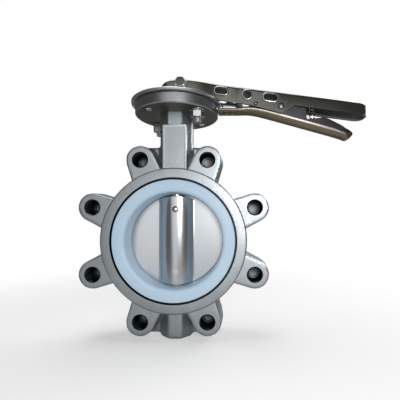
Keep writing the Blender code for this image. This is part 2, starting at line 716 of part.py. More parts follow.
def make_lever_hub(look, axis):
    """The block in the lever's head that takes the stem's square, under the cross bolt."""
    side = HEAD_SIDE_Y - LEVER_SHEET - FIT
    far_half = [(HUB_BLOCK_FRONT, side, 0), (-HUB_BLOCK_BACK, side, HUB_BLOCK_CORNER_R)]
    near_half = [(x, -y, radius) for x, y, radius in reversed(far_half)]
    low = STEM_SHOULDER_Z + FIT
    hub = prism("lever_hub", rounded(far_half + near_half), low, HEAD_BOLT_Z - HEAD_BOLT_R - FIT)
    cut(hub, prism("socket", regular(4, STEM_SQUARE + 2 * FIT), low - PAST, STEM_TOP_Z + FIT))
    finish(hub, look, axis)


def make_head_bolt(look, axis):
    """A hex bolt from the near side, with a washer at each end and a nut on the far side."""
    washer_out = HEAD_SIDE_Y + FIT + HEAD_WASHER_THICK
    seat = washer_out + FIT
    hole_r = HEAD_BOLT_R + FIT
    tail = seat + HEAD_NUT_HEIGHT + HEAD_BOLT_TAIL
    bolt = prism("head_bolt", regular(6, HEAD_BOLT_FLATS), -seat - HEAD_BOLT_HEIGHT, -seat, "Y")
    join(bolt, rod("shank", HEAD_BOLT_R, -seat - HEAD_BOLT_HEIGHT / 2, tail, SMALL_STEPS, "Y"))
    inside = HEAD_SIDE_Y + FIT
    near = tube("head_washer_near", hole_r, HEAD_WASHER_R, -washer_out, -inside, SMALL_STEPS, "Y")
    far = tube("head_washer_far", hole_r, HEAD_WASHER_R, inside, washer_out, SMALL_STEPS, "Y")
    nut = prism("head_nut", regular(6, HEAD_BOLT_FLATS), seat, seat + HEAD_NUT_HEIGHT, "Y")
    cut(nut, rod("thread", hole_r, seat - PAST, seat + HEAD_NUT_HEIGHT + PAST, SMALL_STEPS, "Y"))
    for piece in (bolt, near, far, nut):
        piece.location = (HEAD_BOLT_X, 0, HEAD_BOLT_Z)
        finish(piece, look, axis)


def trigger_bottom(x):
    """Height of the trigger's underside, level under the nose and sloping down from the bend."""
    return TRIGGER_NOSE_Z - max(0, x - TRIGGER_BEND_X) * math.tan(TRIGGER_SLOPE)


def trigger_under(lift, nose_x, tail_x):
    """The trigger's underside from nose to tail, lifted by a wall's thickness, with a soft bend."""
    rise = lift / math.cos(TRIGGER_SLOPE)
    nose = (nose_x, TRIGGER_NOSE_Z + lift, 0)
    bend = (TRIGGER_BEND_X, TRIGGER_NOSE_Z + lift, TRIGGER_BEND_R)
    tail = (tail_x, trigger_bottom(tail_x) + rise, 0)
    above = (nose_x, tail[1] + TRIGGER_BEND_R, 0)
    return rounded([nose, bend, tail, above])[:-1]


def trigger_over():
    """The trigger's upper edge from tail to nose: tail, grip, step, tall panel, pivot ear and nose."""
    tail_z = trigger_bottom(TRIGGER_TAIL_X) + TRIGGER_TAIL_RISE
    corners = [(TRIGGER_TAIL_X, tail_z - TRIGGER_TAIL_RISE, 0)]
    corners += [(TRIGGER_TAIL_X + TRIGGER_TAIL_RUN, tail_z, TRIGGER_TAIL_R)]
    depths = list(reversed(TRIGGER_DEPTHS))
    corners += [(x, trigger_bottom(x) + depth, TRIGGER_RIM_R) for x, depth in depths[:-1]]
    corners += [(x, trigger_bottom(x) + depth, PANEL_CORNER_R) for x, depth in depths[-1:]]
    corners += [(PANEL_X, PLATE_TOP_Z - PANEL_DROP, PANEL_CORNER_R)]
    corners += [(PIVOT_X + EAR_R, PIVOT_Z + EAR_R, EAR_R / 2), (PIVOT_X - EAR_R, PIVOT_Z + EAR_R, EAR_R / 2)]
    corners += [(PIVOT_X - 2 * EAR_R, TRIGGER_TOP_Z, EAR_R / 2), (TOOTH_X, TRIGGER_TOP_Z, 0)]
    return rounded(corners)[1:]


def trough(name, under, over, side, edge_r):
    """A trigger-shaped solid whose two long bottom edges are rounded."""
    solid = prism(name, under + over, -side, side, "Y")
    low_points = [Vector(point) for point in under]

    def along_bottom(edge):
        ends = [vert.co for vert in edge.verts]
        low = all(min((end.xz - point).length for point in low_points) < WELD for end in ends)
        return low and ends[0].y * ends[1].y > 0

    return bevel_edges(solid, along_bottom, edge_r, 3)


def trigger_solid():
    under = trigger_under(0, TOOTH_X, TRIGGER_TAIL_X)
    return trough("trigger", under, trigger_over(), TRIGGER_SIDE_Y, TRIGGER_EDGE_R)


def trigger_inside():
    """The space between the trigger's walls, open at the nose and at the top."""
    high = PIVOT_Z + EAR_R + PAST
    under = trigger_under(TRIGGER_SHEET, TOOTH_X - PAST, TRIGGER_TAIL_X - TRIGGER_SHEET)
    end_x, end_z = under[-1]
    lean = TRIGGER_TAIL_RUN / TRIGGER_TAIL_RISE * (high - end_z)
    over = [(end_x + lean, high), (TOOTH_X - PAST, high)]
    return trough("inside", under, over, TRIGGER_INSIDE_Y, TRIGGER_EDGE_R - TRIGGER_SHEET)


def nose_scoop():
    """The space over the nose, where the trigger's walls are cut low beside the latch block."""
    low, high = TRIGGER_NOSE_Z + SCOOP_HEIGHT, TRIGGER_TOP_Z + PAST
    near_end = [(TOOTH_X - PAST, high, 0), (TOOTH_X - PAST, low, 0)]
    outline = rounded(near_end + [(SCOOP_X, low, SCOOP_R), (SCOOP_X + SCOOP_RUN, high, 0)])
    reach = TRIGGER_SIDE_Y + PAST
    return prism("scoop", outline, -reach, reach, "Y")


def spring_floor():
    return trigger_bottom(SPRING_X) + TRIGGER_SHEET / math.cos(TRIGGER_SLOPE)


def make_trigger(look, axis):
    trigger = trigger_solid()
    cut(trigger, trigger_inside(), nose_scoop())
    cut(trigger, cross_hole(PIVOT_X, PIVOT_Z, PIVOT_R + RUNNING))
    for x in rivet_places():
        low, high = TRIGGER_NOSE_Z - PAST, TOOTH_FLOOR_Z + PAST
        cut(trigger, move(rod("rivet_hole", RIVET_R + FIT, low, high, SMALL_STEPS), x))
    low, high = trigger_bottom(SPRING_X) - PAST, spring_floor() + PAST
    cut(trigger, move(rod("peg_hole", PEG_R + FIT, low, high, SMALL_STEPS), SPRING_X))
    finish(trigger, look, axis)


def make_pins(look, lever_axis):
    """The pivot pin with its head and clip, and the stop pin, both held by the lever's walls."""
    outside = LEVER_SIDE_Y + FIT
    clip_out = outside + PIVOT_CLIP_THICK
    pin = rod("pivot_pin", PIVOT_R, -outside - PIVOT_HEAD_THICK / 2, clip_out + PIN_PROUD, SMALL_STEPS, "Y")
    join(pin, rod("head", PIVOT_HEAD_R, -outside - PIVOT_HEAD_THICK, -outside, SMALL_STEPS, "Y"))
    clip = tube("pivot_clip", PIVOT_R + FIT, PIVOT_CLIP_R, outside, clip_out, SMALL_STEPS, "Y")
    stop_reach = LEVER_SIDE_Y + PIN_PROUD
    stop = rod("stop_pin", STOP_R, -stop_reach, stop_reach, SMALL_STEPS, "Y")
    for piece, x, z in ((pin, PIVOT_X, PIVOT_Z), (clip, PIVOT_X, PIVOT_Z), (stop, STOP_X, STOP_Z)):
        piece.location = (x, 0, z)
        finish(piece, look, lever_axis)


def rivet_places():
    return (TOOTH_BASE_X + TOOTH_BASE_LENGTH / 4, TOOTH_BASE_X + TOOTH_BASE_LENGTH * 3 / 4)


def make_latch(tooth_look, rivet_look, axis):
    """A block riveted in the trigger's nose, whose tooth stands up into a notch."""
    half = NOTCH_WIDTH / 2 - TOOTH_GAP
    side = TRIGGER_INSIDE_Y - FIT
    low, high = TOOTH_FLOOR_Z, TOOTH_FLOOR_Z + TOOTH_BASE_HEIGHT
    chamfer = TRIGGER_EDGE_R - TRIGGER_SHEET
    section = [(-side + chamfer, low), (side - chamfer, low), (side, low + chamfer), (side, high)]
    section += [(-side, high), (-side, low + chamfer)]
    tooth = prism("latch_tooth", section, TOOTH_BASE_X, TOOTH_BASE_X + TOOTH_BASE_LENGTH, "X")
    outline = rectangle(TOOTH_X, TOOTH_BASE_X + PAST, -half, half)
    join(tooth, prism("root", outline, low, high - FIT))
    outline = rectangle(TOOTH_X, TOOTH_BASE_X, -half, half)
    join(tooth, prism("tip", outline, low + FIT, PLATE_TOP_Z - FIT))
    under = TRIGGER_NOSE_Z - FIT
    for i, x in enumerate(rivet_places(), 1):
        cut(tooth, move(rod("rivet_hole", RIVET_R + FIT, low - PAST, high + PAST, SMALL_STEPS), x))
        rivet = rod(f"tooth_rivet_{i}", RIVET_R, under - RIVET_HEAD_THICK / 2, high, SMALL_STEPS)
        join(rivet, rod("head", RIVET_HEAD_R, under - RIVET_HEAD_THICK, under, SMALL_STEPS))
        finish(move(rivet, x), rivet_look, axis)
    finish(tooth, tooth_look, axis)


def least_gap(points, apart):
    """The least distance between points of a path that lie more than a few steps apart on it."""
    pairs = ((points[i] - other).length for i in range(len(points)) for other in points[i + apart :])
    return min(pairs)


def make_spring(spring_look, peg_look, lever_axis, trigger_axis):
    """An open-coiled spring that stands on the trigger's web, round a peg, under the lever's top."""
    reach = SPRING_COIL_R + SPRING_WIRE_R
    low = spring_floor() + reach * math.tan(TRIGGER_SLOPE) + FIT + SPRING_WIRE_R
    inside_top = lever_top(SPRING_X) - LEVER_SHEET
    high = inside_top - reach * math.tan(LEVER_SLOPE) - FIT - SPRING_WIRE_R
    count = SPRING_TURNS * SPRING_TURN_POINTS
    path = []
    for i in range(count + 1):
        turn = math.tau * i / SPRING_TURN_POINTS
        z = low + (high - low) * i / count
        path.append(Vector((SPRING_COIL_R * math.cos(turn), SPRING_COIL_R * math.sin(turn), z)))
    gap = least_gap(path, SPRING_TURN_POINTS // 2 + 1) - 2 * SPRING_WIRE_R
    print(f"trigger_spring: least gap to itself {gap * 1000:.2f} mm")

    curve = bpy.data.curves.new("trigger_spring", "CURVE")
    curve.dimensions = "3D"
    curve.bevel_depth = SPRING_WIRE_R
    curve.bevel_resolution = 1
    curve.use_fill_caps = True
    spline = curve.splines.new("POLY")
    spline.points.add(len(path) - 1)
    for point, place in zip(spline.points, path):
        point.co = (*place, 1)
    spline.use_smooth = True
    spring = bpy.data.objects.new("trigger_spring", curve)
    bpy.context.scene.collection.objects.link(spring)
    spring.location = (SPRING_X, 0, 0)
    spring.parent = lever_axis
    curve.materials.append(spring_look)

    base = trigger_bottom(SPRING_X)
    peg = rod("spring_peg", PEG_R, base, spring_floor() + PEG_LENGTH, SMALL_STEPS)
    finish(move(peg, SPRING_X), peg_look, trigger_axis)


clear_scene()

cast_steel = material("cast stainless steel", (0.38, 0.37, 0.36), 0.55, 0.9)
polished_steel = material("machined stainless steel", (0.55, 0.57, 0.59), 0.22, 1.0)
ptfe = material("white PTFE", (0.62, 0.75, 0.87), 0.40, 0.0)
rubber = material("black elastomer", (0.02, 0.03, 0.04), 0.70, 0.0)
bearing = material("filled bearing plastic", (0.55, 0.50, 0.40), 0.50, 0.0)
dull_plate = material("dull stainless sheet", (0.20, 0.20, 0.21), 0.45, 0.9)
lever_sheet = material("pressed lever sheet", (0.18, 0.18, 0.16), 0.40, 0.9)
trigger_sheet = material("pressed trigger sheet", (0.23, 0.20, 0.15), 0.42, 0.9)
bright_zinc = material("bright fastener steel", (0.60, 0.61, 0.62), 0.30, 1.0)

stem_axis = axis_empty("stem_axis", Vector((0, 0, 0)))
trigger_axis = axis_empty("trigger_axis", Vector((PIVOT_X, 0, PIVOT_Z)))

make_body(cast_steel)
make_seat(ptfe, rubber)
make_stem(polished_steel, stem_axis)
make_disc(polished_steel, bright_zinc, stem_axis)
make_stem_fittings(bearing, ptfe, bright_zinc)
make_notch_plate(dull_plate)
make_plate_screws(bright_zinc)
make_lever(lever_sheet, stem_axis)
make_lever_hub(cast_steel, stem_axis)
make_head_bolt(bright_zinc, stem_axis)
make_trigger(trigger_sheet, trigger_axis)
make_pins(bright_zinc, stem_axis)
make_latch(bright_zinc, bright_zinc, trigger_axis)
make_spring(bright_zinc, bright_zinc, stem_axis, trigger_axis)
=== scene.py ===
import math

import bmesh
import bpy
from mathutils import Matrix, Vector


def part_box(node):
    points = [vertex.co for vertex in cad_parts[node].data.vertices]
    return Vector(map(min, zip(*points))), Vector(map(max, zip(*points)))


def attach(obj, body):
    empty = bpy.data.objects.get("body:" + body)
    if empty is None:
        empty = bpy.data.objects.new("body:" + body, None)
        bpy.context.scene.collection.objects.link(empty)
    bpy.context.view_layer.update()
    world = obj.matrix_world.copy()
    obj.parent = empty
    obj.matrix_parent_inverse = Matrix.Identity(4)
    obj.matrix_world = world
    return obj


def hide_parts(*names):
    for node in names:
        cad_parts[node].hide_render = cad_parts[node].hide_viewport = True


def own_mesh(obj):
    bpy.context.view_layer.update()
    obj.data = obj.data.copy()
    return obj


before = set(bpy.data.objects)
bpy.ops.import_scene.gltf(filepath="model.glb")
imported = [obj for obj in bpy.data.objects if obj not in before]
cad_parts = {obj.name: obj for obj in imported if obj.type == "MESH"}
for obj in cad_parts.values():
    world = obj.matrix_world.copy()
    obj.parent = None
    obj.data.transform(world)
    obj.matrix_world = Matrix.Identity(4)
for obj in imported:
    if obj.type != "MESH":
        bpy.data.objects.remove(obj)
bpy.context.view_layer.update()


# Body: one stainless casting, poured in a sand mould and blasted, so its corners are soft and its
# skin is an even, cool grey. The raised faces, the top flange, the bore and the tapped holes are
# then turned and cut.
RING_R = 0.0750
FACE_Y = 0.0260
FACE_INNER_R = 0.0500
FACE_EDGE_R = 0.0018
LUGS = 8
LUG_Y = 0.0235
LUG_TIP_R = 0.0161
LUG_RUN = 0.0240
LUG_FLARE = 1.16
LUG_DRAFT = 0.91
BOLT_CIRCLE_R = 0.0900
ROOT_Z = 0.0600
NECK_FLATS = 0.0348
BOSS_FLATS = 0.0328
BOSS_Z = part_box("valve_body")[0].z
WEB_WIDTH = 0.0690
WEB_THICK = 0.0094
WEB_Z = 0.1003
FLANGE_R = 0.0446
FLANGE_Z = 0.1340
FLANGE_TOP_Z = 0.1445
FLANGE_EDGE = 0.0009
FLANGE_TOP_EDGE = 0.0005
PAD_WIDTH = 0.0250
PAD_THICK = 0.0100
PAD_Y = -0.0143
PAD_HEIGHT = 0.0480
PAD_TOP_Z = 0.1205
PAD_TONGUE = 0.0145
PAD_TONGUE_SHARE = 0.56
PAD_BORDER = 0.0018
PAD_SUNK = 0.0004
BORE_R = 0.0594
RECESS_R = 0.0650
RECESS_Y = 0.0202
PAST_FACE_Y = 0.0320
TAP_R = 0.0080
TAP_CORE_R = 0.0071
TAP_MOUTH_R = 0.0085
TAP_PITCH = 0.0020
STEM_BORE_R = 0.0110
GLAND_BORE_R = 0.0134
GLAND_Z = 0.1020
SCREW_CIRCLE_R = 0.0350
SCREW_DRILL_R = 0.0044
VOXEL = 0.0013
QUARTER = 1.57
ALONG_Y = (math.pi / 2, 0, 0)
EVEN = (1, 1, 1)


def linear(code):
    """A colour for the shader from its sRGB hex code."""
    channels = [int(code[i : i + 2], 16) / 255 for i in (1, 3, 5)]
    return (*[c / 12.92 if c <= 0.04045 else ((c + 0.055) / 1.055) ** 2.4 for c in channels], 1)


def add_node(material, kind, inputs, **settings):
    """Adds one shader node with its settings, and fills or links its inputs."""
    tree = material.node_tree
    node = tree.nodes.new(kind)
    for name, value in settings.items():
        setattr(node, name, value)
    for name, value in inputs.items():
        if isinstance(value, bpy.types.NodeSocket):
            tree.links.new(value, node.inputs[name])
        else:
            node.inputs[name].default_value = value
    return node


def new_finish(name, tones, gloss, patch, line=None, metal=1.0, spread=(0, 1), relief=None):
    """A finish that drifts between two tones from patch to patch. Its roughness drifts with them,
    or along finer lines, which may stand in relief. Patch and line: size, detail and stretch."""
    material = bpy.data.materials.new(name)
    material.use_nodes = True
    links = material.node_tree.links
    shader = material.node_tree.nodes["Principled BSDF"]
    shader.inputs["Metallic"].default_value = metal
    place = add_node(material, "ShaderNodeTexCoord", {}).outputs["Object"]
    patterns = []
    for size, detail, stretch in (patch, line) if line else (patch,):
        spot = place
        if stretch != EVEN:
            drawn_out = {"Vector": place, "Scale": stretch}
            spot = add_node(material, "ShaderNodeMapping", drawn_out).outputs["Vector"]
        noise = {"Vector": spot, "Scale": 1 / size, "Detail": detail}
        patterns.append(add_node(material, "ShaderNodeTexNoise", noise).outputs["Fac"])
    mix = {"Factor": patterns[0], "A": linear(tones[0]), "B": linear(tones[1])}
    tone = add_node(material, "ShaderNodeMix", mix, data_type="RGBA")
    links.new(tone.outputs["Result"], shader.inputs["Base Color"])
    if isinstance(gloss, float):
        shader.inputs["Roughness"].default_value = gloss
    else:
        drift = {"Value": patterns[-1], "From Min": spread[0], "From Max": spread[1]}
        drift |= {"To Min": gloss[0], "To Max": gloss[1]}
        rough = add_node(material, "ShaderNodeMapRange", drift)
        links.new(rough.outputs["Result"], shader.inputs["Roughness"])
    if relief:
        raised = {"Height": patterns[-1], "Strength": relief[0], "Distance": relief[1]}
        bump = add_node(material, "ShaderNodeBump", raised)
        links.new(bump.outputs["Normal"], shader.inputs["Normal"])
    return material


# Blasted cast stainless steel: no polish, a faint pebbled grain of about 1.5 mm, and broad cloudy
# patches that the mould leaves.
blasted_steel = new_finish(
    "blasted cast stainless steel",
    ("#9da4a8", "#b4bbbe"),
    (0.37, 0.51),
    patch=(0.012, 4, EVEN),
    line=(0.0015, 3, EVEN),
    spread=(0.3, 0.7),
    relief=(0.30, 0.0004),
)

# Turned cast stainless steel: the top flange keeps the lathe's fine rings, drawn 0.8 mm apart so
# that they show. It is smoother than the blasted skin, so it mirrors the dark of the room.
turned_steel = new_finish(
    "turned cast stainless steel",
    ("#979a9d", "#aeb0b1"),
    (0.26, 0.44),
    patch=(0.0008, 3, (0.08, 0.08, 1)),
)

# Painted shade: the flange's underside and the floors of the holes get a dark brownish grey, in
# patches of about 6 mm, that paints the shade under the flange and at the bottom of the holes.
painted_shade_skin = new_finish(
    "cast stainless painted dark as shade", ("#6e6a66", "#8a867f"), (0.40, 0.60), patch=(0.006, 4, EVEN)
)

# Painted shade in the holes: the tapped holes, the bores with the groove round the seat, and the
# screw holes get a near-black steel, so they look nearly black.
hole_shade_steel = new_finish(
    "steel painted dark as hole shade", ("#2b3134", "#414a4d"), (0.25, 0.45), patch=(0.003, 3, EVEN)
)


def new_piece(name, primitive, **settings):
    """Adds a primitive at its size and place, names it and puts its place into its mesh."""
    bpy.ops.object.select_all(action="DESELECT")
    primitive(**settings)
    piece = bpy.context.object
    piece.name = name
    bpy.ops.object.transform_apply(location=True, rotation=True, scale=True)
    return piece


def pick(kind, test):
    """Selects the corners, edges or faces in edit mode that pass a test of their place."""
    mesh = bpy.context.edit_object.data
    bpy.ops.mesh.select_mode(type=kind)
    bpy.ops.mesh.select_all(action="DESELECT")
    shape = bmesh.from_edit_mesh(mesh)
    for vert in shape.verts if kind == "VERT" else ():
        vert.select_set(test(vert.co))
    for edge in shape.edges if kind == "EDGE" else ():
        edge.select_set(all(test(vert.co) for vert in edge.verts))
    for face in shape.faces if kind == "FACE" else ():
        face.select_set(test(face.calc_center_median(), face.normal))
    bmesh.update_edit_mesh(mesh)


def copied(model, place):
    """A copy of a piece, with its own mesh, put in its place by a matrix."""
    copy = model.copy()
    copy.data = model.data.copy()
    copy.data.transform(place)
    bpy.context.scene.collection.objects.link(copy)
    return copy


body = new_piece(
    "body_casting",
    bpy.ops.mesh.primitive_cylinder_add,
    vertices=160,
    radius=RING_R - 0.0012,
    depth=2 * LUG_Y,
    rotation=ALONG_Y,
)
blocks = [body]

# One lug, drawn in from the mould's parting line to each face, and copied round the ring.
lug = new_piece(
    "lug",
    bpy.ops.mesh.primitive_cylinder_add,
    vertices=64,
    radius=LUG_TIP_R,
    depth=2 * LUG_Y,
    location=(BOLT_CIRCLE_R, 0, 0),
    rotation=ALONG_Y,
)
bpy.ops.object.mode_set(mode="EDIT")
pick("VERT", lambda place: place.x < BOLT_CIRCLE_R - 0.001)
bpy.ops.transform.translate(value=(-LUG_RUN, 0, 0))
bpy.ops.transform.resize(value=(1, 1, LUG_FLARE), center_override=(0, 0, 0))
bpy.ops.mesh.select_all(action="SELECT")
bpy.ops.mesh.bisect(plane_co=(0, 0, 0), plane_no=(0, 1, 0))
pick("VERT", lambda place: abs(place.y) > LUG_Y / 2)
bpy.ops.transform.resize(value=(LUG_DRAFT, 1, LUG_DRAFT), center_override=(BOLT_CIRCLE_R, 0, 0))
bpy.ops.object.mode_set(mode="OBJECT")
lug_turns = [(i + 0.5) * math.tau / LUGS for i in range(LUGS)]
blocks += [copied(lug, Matrix.Rotation(-turn, 4, "Y")) for turn in lug_turns]
bpy.data.objects.remove(lug)

# The octagonal neck and boss, and the thin webs that tie them to the lugs on either side.
eighth = math.pi / 8
for flats, low, high in (
    (NECK_FLATS, ROOT_Z, FLANGE_Z + 0.004),
    (BOSS_FLATS, BOSS_Z, -ROOT_Z),
):
    block = new_piece(
        "neck_block",
        bpy.ops.mesh.primitive_cylinder_add,
        vertices=8,
        radius=flats / 2 / math.cos(eighth),
        depth=high - low,
        location=(0, 0, (low + high) / 2),
        rotation=(0, 0, eighth),
    )
    blocks.append(block)
for low, high in ((ROOT_Z, WEB_Z), (-WEB_Z, -ROOT_Z)):
    web = new_piece(
        "web",
        bpy.ops.mesh.primitive_cube_add,
        size=1,
        location=(0, 0, (low + high) / 2),
        scale=(WEB_WIDTH, WEB_THICK, high - low),
    )
    blocks.append(web)


def joined(pieces):
    """Makes one mesh of several pieces and returns it."""
    bpy.ops.object.select_all(action="DESELECT")
    for piece in pieces:
        piece.select_set(True)
    bpy.context.view_layer.objects.active = pieces[0]
    bpy.ops.object.join()
    return pieces[0]


def modified(piece, kind, **settings):
    """Runs one modifier on a piece and applies it."""
    bpy.ops.object.select_all(action="DESELECT")
    piece.select_set(True)
    bpy.context.view_layer.objects.active = piece
    modifier = piece.modifiers.new(kind.lower(), kind)
    for name, value in settings.items():
        setattr(modifier, name, value)
    bpy.ops.object.modifier_apply(modifier=modifier.name)


def eased(piece, width, segments, degrees, **settings):
    """Bevels the edges of a piece that are sharper than an angle."""
    settings |= {"limit_method": "ANGLE", "angle_limit": math.radians(degrees)}
    modified(piece, "BEVEL", width=width, segments=segments, **settings)


def coated(piece, *materials):
    """Gives a piece its materials."""
    piece.data.materials.clear()
    for material in materials:
        piece.data.materials.append(material)
    return piece


def tinted(piece, index, test):
    """Gives another of its materials to the faces that pass a test of their centre and normal."""
    for face in piece.data.polygons:
        if test(face.center, face.normal):
            face.material_index = index


body = joined(blocks)
modified(body, "REMESH", mode="VOXEL", voxel_size=VOXEL)
modified(body, "SMOOTH", factor=0.5, iterations=10)
coated(body, blasted_steel)


def wire(name, corners):
    """A closed wire: a circle primitive whose corners are set one by one."""
    circle = bpy.ops.mesh.primitive_circle_add
    piece = new_piece(name, circle, vertices=len(corners), radius=1)
    for vert, corner in zip(piece.data.vertices, corners):
        vert.co = corner
    return piece


def turned(name, profile, axis, steps, place=(0, 0, 0)):
    """A turned piece: its half section, in radius and height, is spun once round an axis."""
    across = axis == "Y"
    corners = [(radius, height, 0) if across else (radius, 0, height) for radius, height in profile]
    piece = wire(name, corners)
    bpy.ops.object.mode_set(mode="EDIT")
    bpy.ops.mesh.select_mode(type="EDGE")
    bpy.ops.mesh.select_all(action="SELECT")
    turn = (0, 1, 0) if across else (0, 0, 1)
    bpy.ops.mesh.spin(steps=steps, angle=math.tau, center=(0, 0, 0), axis=turn)
    bpy.ops.mesh.select_all(action="SELECT")
    bpy.ops.mesh.remove_doubles(threshold=1e-6)
    bpy.ops.mesh.dissolve_degenerate(threshold=1e-7)
    bpy.ops.mesh.select_all(action="SELECT")
    bpy.ops.mesh.normals_make_consistent(inside=False)
    bpy.ops.object.mode_set(mode="OBJECT")
    piece.data.transform(Matrix.Translation(place))
    return piece


def mirrored(profile):
    """The mirror image of a half section, from its last point back to its first."""
    return [(radius, -height) for radius, height in reversed(profile)]


def rod(radius, low, high):
    """The half section of a plain rod."""
    return [(0, low), (radius, low), (radius, high), (0, high)]


def rim(hole_r, outer_r, low, high, edge):
    """The half section of a flat ring whose outer edges are broken."""
    inner_r = outer_r - edge
    section = [(hole_r, low), (inner_r, low), (outer_r, low + edge)]
    return section + [(outer_r, high - edge), (inner_r, high), (hole_r, high)]


def machined(piece, tool, operation="DIFFERENCE"):
    """Cuts a tool's shape out of a piece, or joins it, and takes the tool away."""
    settings = {"operation": operation, "solver": "EXACT", "material_mode": "TRANSFER"}
    modified(piece, "BOOLEAN", object=tool, **settings)
    bpy.data.objects.remove(tool)


# The two faces stand 2.5 mm proud of the lugs and are turned with a soft outer edge.
edge_y = FACE_Y - FACE_EDGE_R
far_face = [(RING_R, 0), (RING_R, edge_y)]
for i in range(1, 6):
    a = QUARTER * i / 5
    drawn_in = FACE_EDGE_R * (1 - math.cos(a))
    far_face.append((RING_R - drawn_in, edge_y + FACE_EDGE_R * math.sin(a)))
far_face += [(FACE_INNER_R, FACE_Y), (FACE_INNER_R, 0)]
faces = turned("faces", far_face + mirrored(far_face[1:-1]), "Y", 192)
machined(body, coated(faces, blasted_steel), "UNION")

top_flange = [(0, FLANGE_Z), (FLANGE_R - FLANGE_EDGE, FLANGE_Z), (FLANGE_R, FLANGE_Z + FLANGE_EDGE)]
top_flange += [(FLANGE_R, FLANGE_TOP_Z - FLANGE_TOP_EDGE)]
top_flange += [(FLANGE_R - FLANGE_TOP_EDGE, FLANGE_TOP_Z), (0, FLANGE_TOP_Z)]
flange = coated(turned("flange", top_flange, "Z", 160), turned_steel, blasted_steel, painted_shade_skin)
# The lower chamfer gets the lighter blasted finish, a painted highlight along the flange's lower
# corner, and the flat underside gets the painted shade skin.
tinted(flange, 1, lambda centre, normal: normal.z < -0.3)
tinted(flange, 2, lambda centre, normal: normal.z < -0.9)
machined(body, flange, "UNION")

# The raised pad on the neck's front, with a narrower tongue above it, is bare inside a thin border.
pad = new_piece(
    "pad",
    bpy.ops.mesh.primitive_cube_add,
    size=1,
    location=(0, PAD_Y, PAD_TOP_Z - PAD_HEIGHT / 2),
    scale=(PAD_WIDTH, PAD_THICK, PAD_HEIGHT),
)
bpy.ops.object.mode_set(mode="EDIT")
pick("FACE", lambda centre, normal: normal.z > 0.9)
bpy.ops.mesh.extrude_region_move()
bpy.ops.transform.resize(value=(PAD_TONGUE_SHARE, 1, 1), center_override=(0, 0, PAD_TOP_Z))
bpy.ops.mesh.extrude_region_move(TRANSFORM_OT_translate={"value": (0, 0, PAD_TONGUE)})
bpy.ops.mesh.select_all(action="SELECT")
bpy.ops.mesh.remove_doubles(threshold=1e-6)
pick("FACE", lambda centre, normal: normal.y < -0.9 and centre.z < PAD_TOP_Z)
bpy.ops.mesh.inset(thickness=PAD_BORDER)
bpy.ops.transform.translate(value=(0, PAD_SUNK, 0))
bpy.ops.mesh.inset(thickness=0.0010)
pick("FACE", lambda centre, normal: normal.y < -0.9 and centre.z > PAD_TOP_Z)
bpy.ops.mesh.inset(thickness=0.0010)
bpy.ops.object.mode_set(mode="OBJECT")
eased(pad, width=0.0007, segments=2, degrees=30)
machined(body, coated(pad, blasted_steel), "UNION")

far_bore = [(BORE_R, 0), (BORE_R, RECESS_Y), (RECESS_R, RECESS_Y)]
far_bore += [(RECESS_R, PAST_FACE_Y), (0, PAST_FACE_Y)]
bore_tool = turned("bore_tool", mirrored(far_bore[1:]) + far_bore, "Y", 192)
machined(body, coated(bore_tool, hole_shade_steel))

# Each lug is tapped from both faces. The thread's pitch is drawn as rings.
thread = [(0, -0.0275), (TAP_MOUTH_R, -0.0275), (TAP_MOUTH_R, -0.0236), (TAP_CORE_R, -0.0222)]
for i in range(9):
    thread += [(TAP_R, -0.0212 + TAP_PITCH * i), (TAP_CORE_R, -0.0202 + TAP_PITCH * i)]
thread += [(TAP_CORE_R, -0.0030), (0.0043, -0.0026), (0, -0.0020)]
tap = coated(turned("tap", thread, "Y", 32), hole_shade_steel, painted_shade_skin)
# The floor of each hole gets the painted shade skin.
tinted(tap, 1, lambda spot, normal: spot.y > -0.0026 and math.hypot(spot.x, spot.z) < 0.0042)
taps = []
for turn in lug_turns:
    for side in (0, math.pi):
        copy = copied(tap, Matrix.Rotation(side, 4, "Z"))
        spot = (BOLT_CIRCLE_R * math.cos(turn), 0, BOLT_CIRCLE_R * math.sin(turn))
        copy.data.transform(Matrix.Translation(spot))
        taps.append(copy)
bpy.data.objects.remove(tap)
machined(body, joined(taps))

stem_bore = [(0, -0.0930), (STEM_BORE_R, -0.0930), (STEM_BORE_R, GLAND_Z)]
stem_bore += [(GLAND_BORE_R, GLAND_Z), (GLAND_BORE_R, 0.1600), (0, 0.1600)]
machined(body, coated(turned("stem_tool", stem_bore, "Z", 64), hole_shade_steel))
screw_turns = [math.pi / 4 * i for i in (1, 3, 5, 7)]
screw_places = [(SCREW_CIRCLE_R * math.cos(a), SCREW_CIRCLE_R * math.sin(a)) for a in screw_turns]
drills = []
for x, y in screw_places:
    drill = new_piece(
        "drill",
        bpy.ops.mesh.primitive_cylinder_add,
        vertices=32,
        radius=SCREW_DRILL_R,
        depth=0.03,
        location=(x, y, 0.140),
    )
    drills.append(coated(drill, hole_shade_steel))
machined(body, joined(drills))


def dressed(piece, body, slot, *nodes):
    """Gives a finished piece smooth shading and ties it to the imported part."""
    bpy.ops.object.select_all(action="DESELECT")
    piece.select_set(True)
    bpy.context.view_layer.objects.active = piece
    bpy.ops.object.shade_smooth_by_angle(angle=math.radians(35))
    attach(piece, body)
    if nodes:
        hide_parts(*nodes)


dressed(body, "valve", "cast_stainless", "valve_body")


# Seat: a moulded PTFE liner with a flat sealing ring on each face that turns in round a soft edge
# to the throat. It is pressed into the bore over a black elastomer ring, and a narrow dark groove
# runs round it.
SEAT_Y = 0.0265
SEAT_LIP_Y = 0.0205
SEAT_BACK_R = 0.0548
SEAT_RIM_R = 0.0628
SEAT_FLAT_R = 0.0540
SEAT_EDGE_R = 0.0040
THROAT_R = 0.0488
PORT_R = 0.0083
# Moulded PTFE: waxy and pale, with a cool cast and hardly any grain.
ptfe = new_finish(
    "moulded PTFE", ("#c6e1f6", "#d0e7f9"), (0.34, 0.46), patch=(0.020, 3, EVEN), metal=0.0
)
ptfe.node_tree.nodes["Principled BSDF"].inputs["IOR"].default_value = 1.36

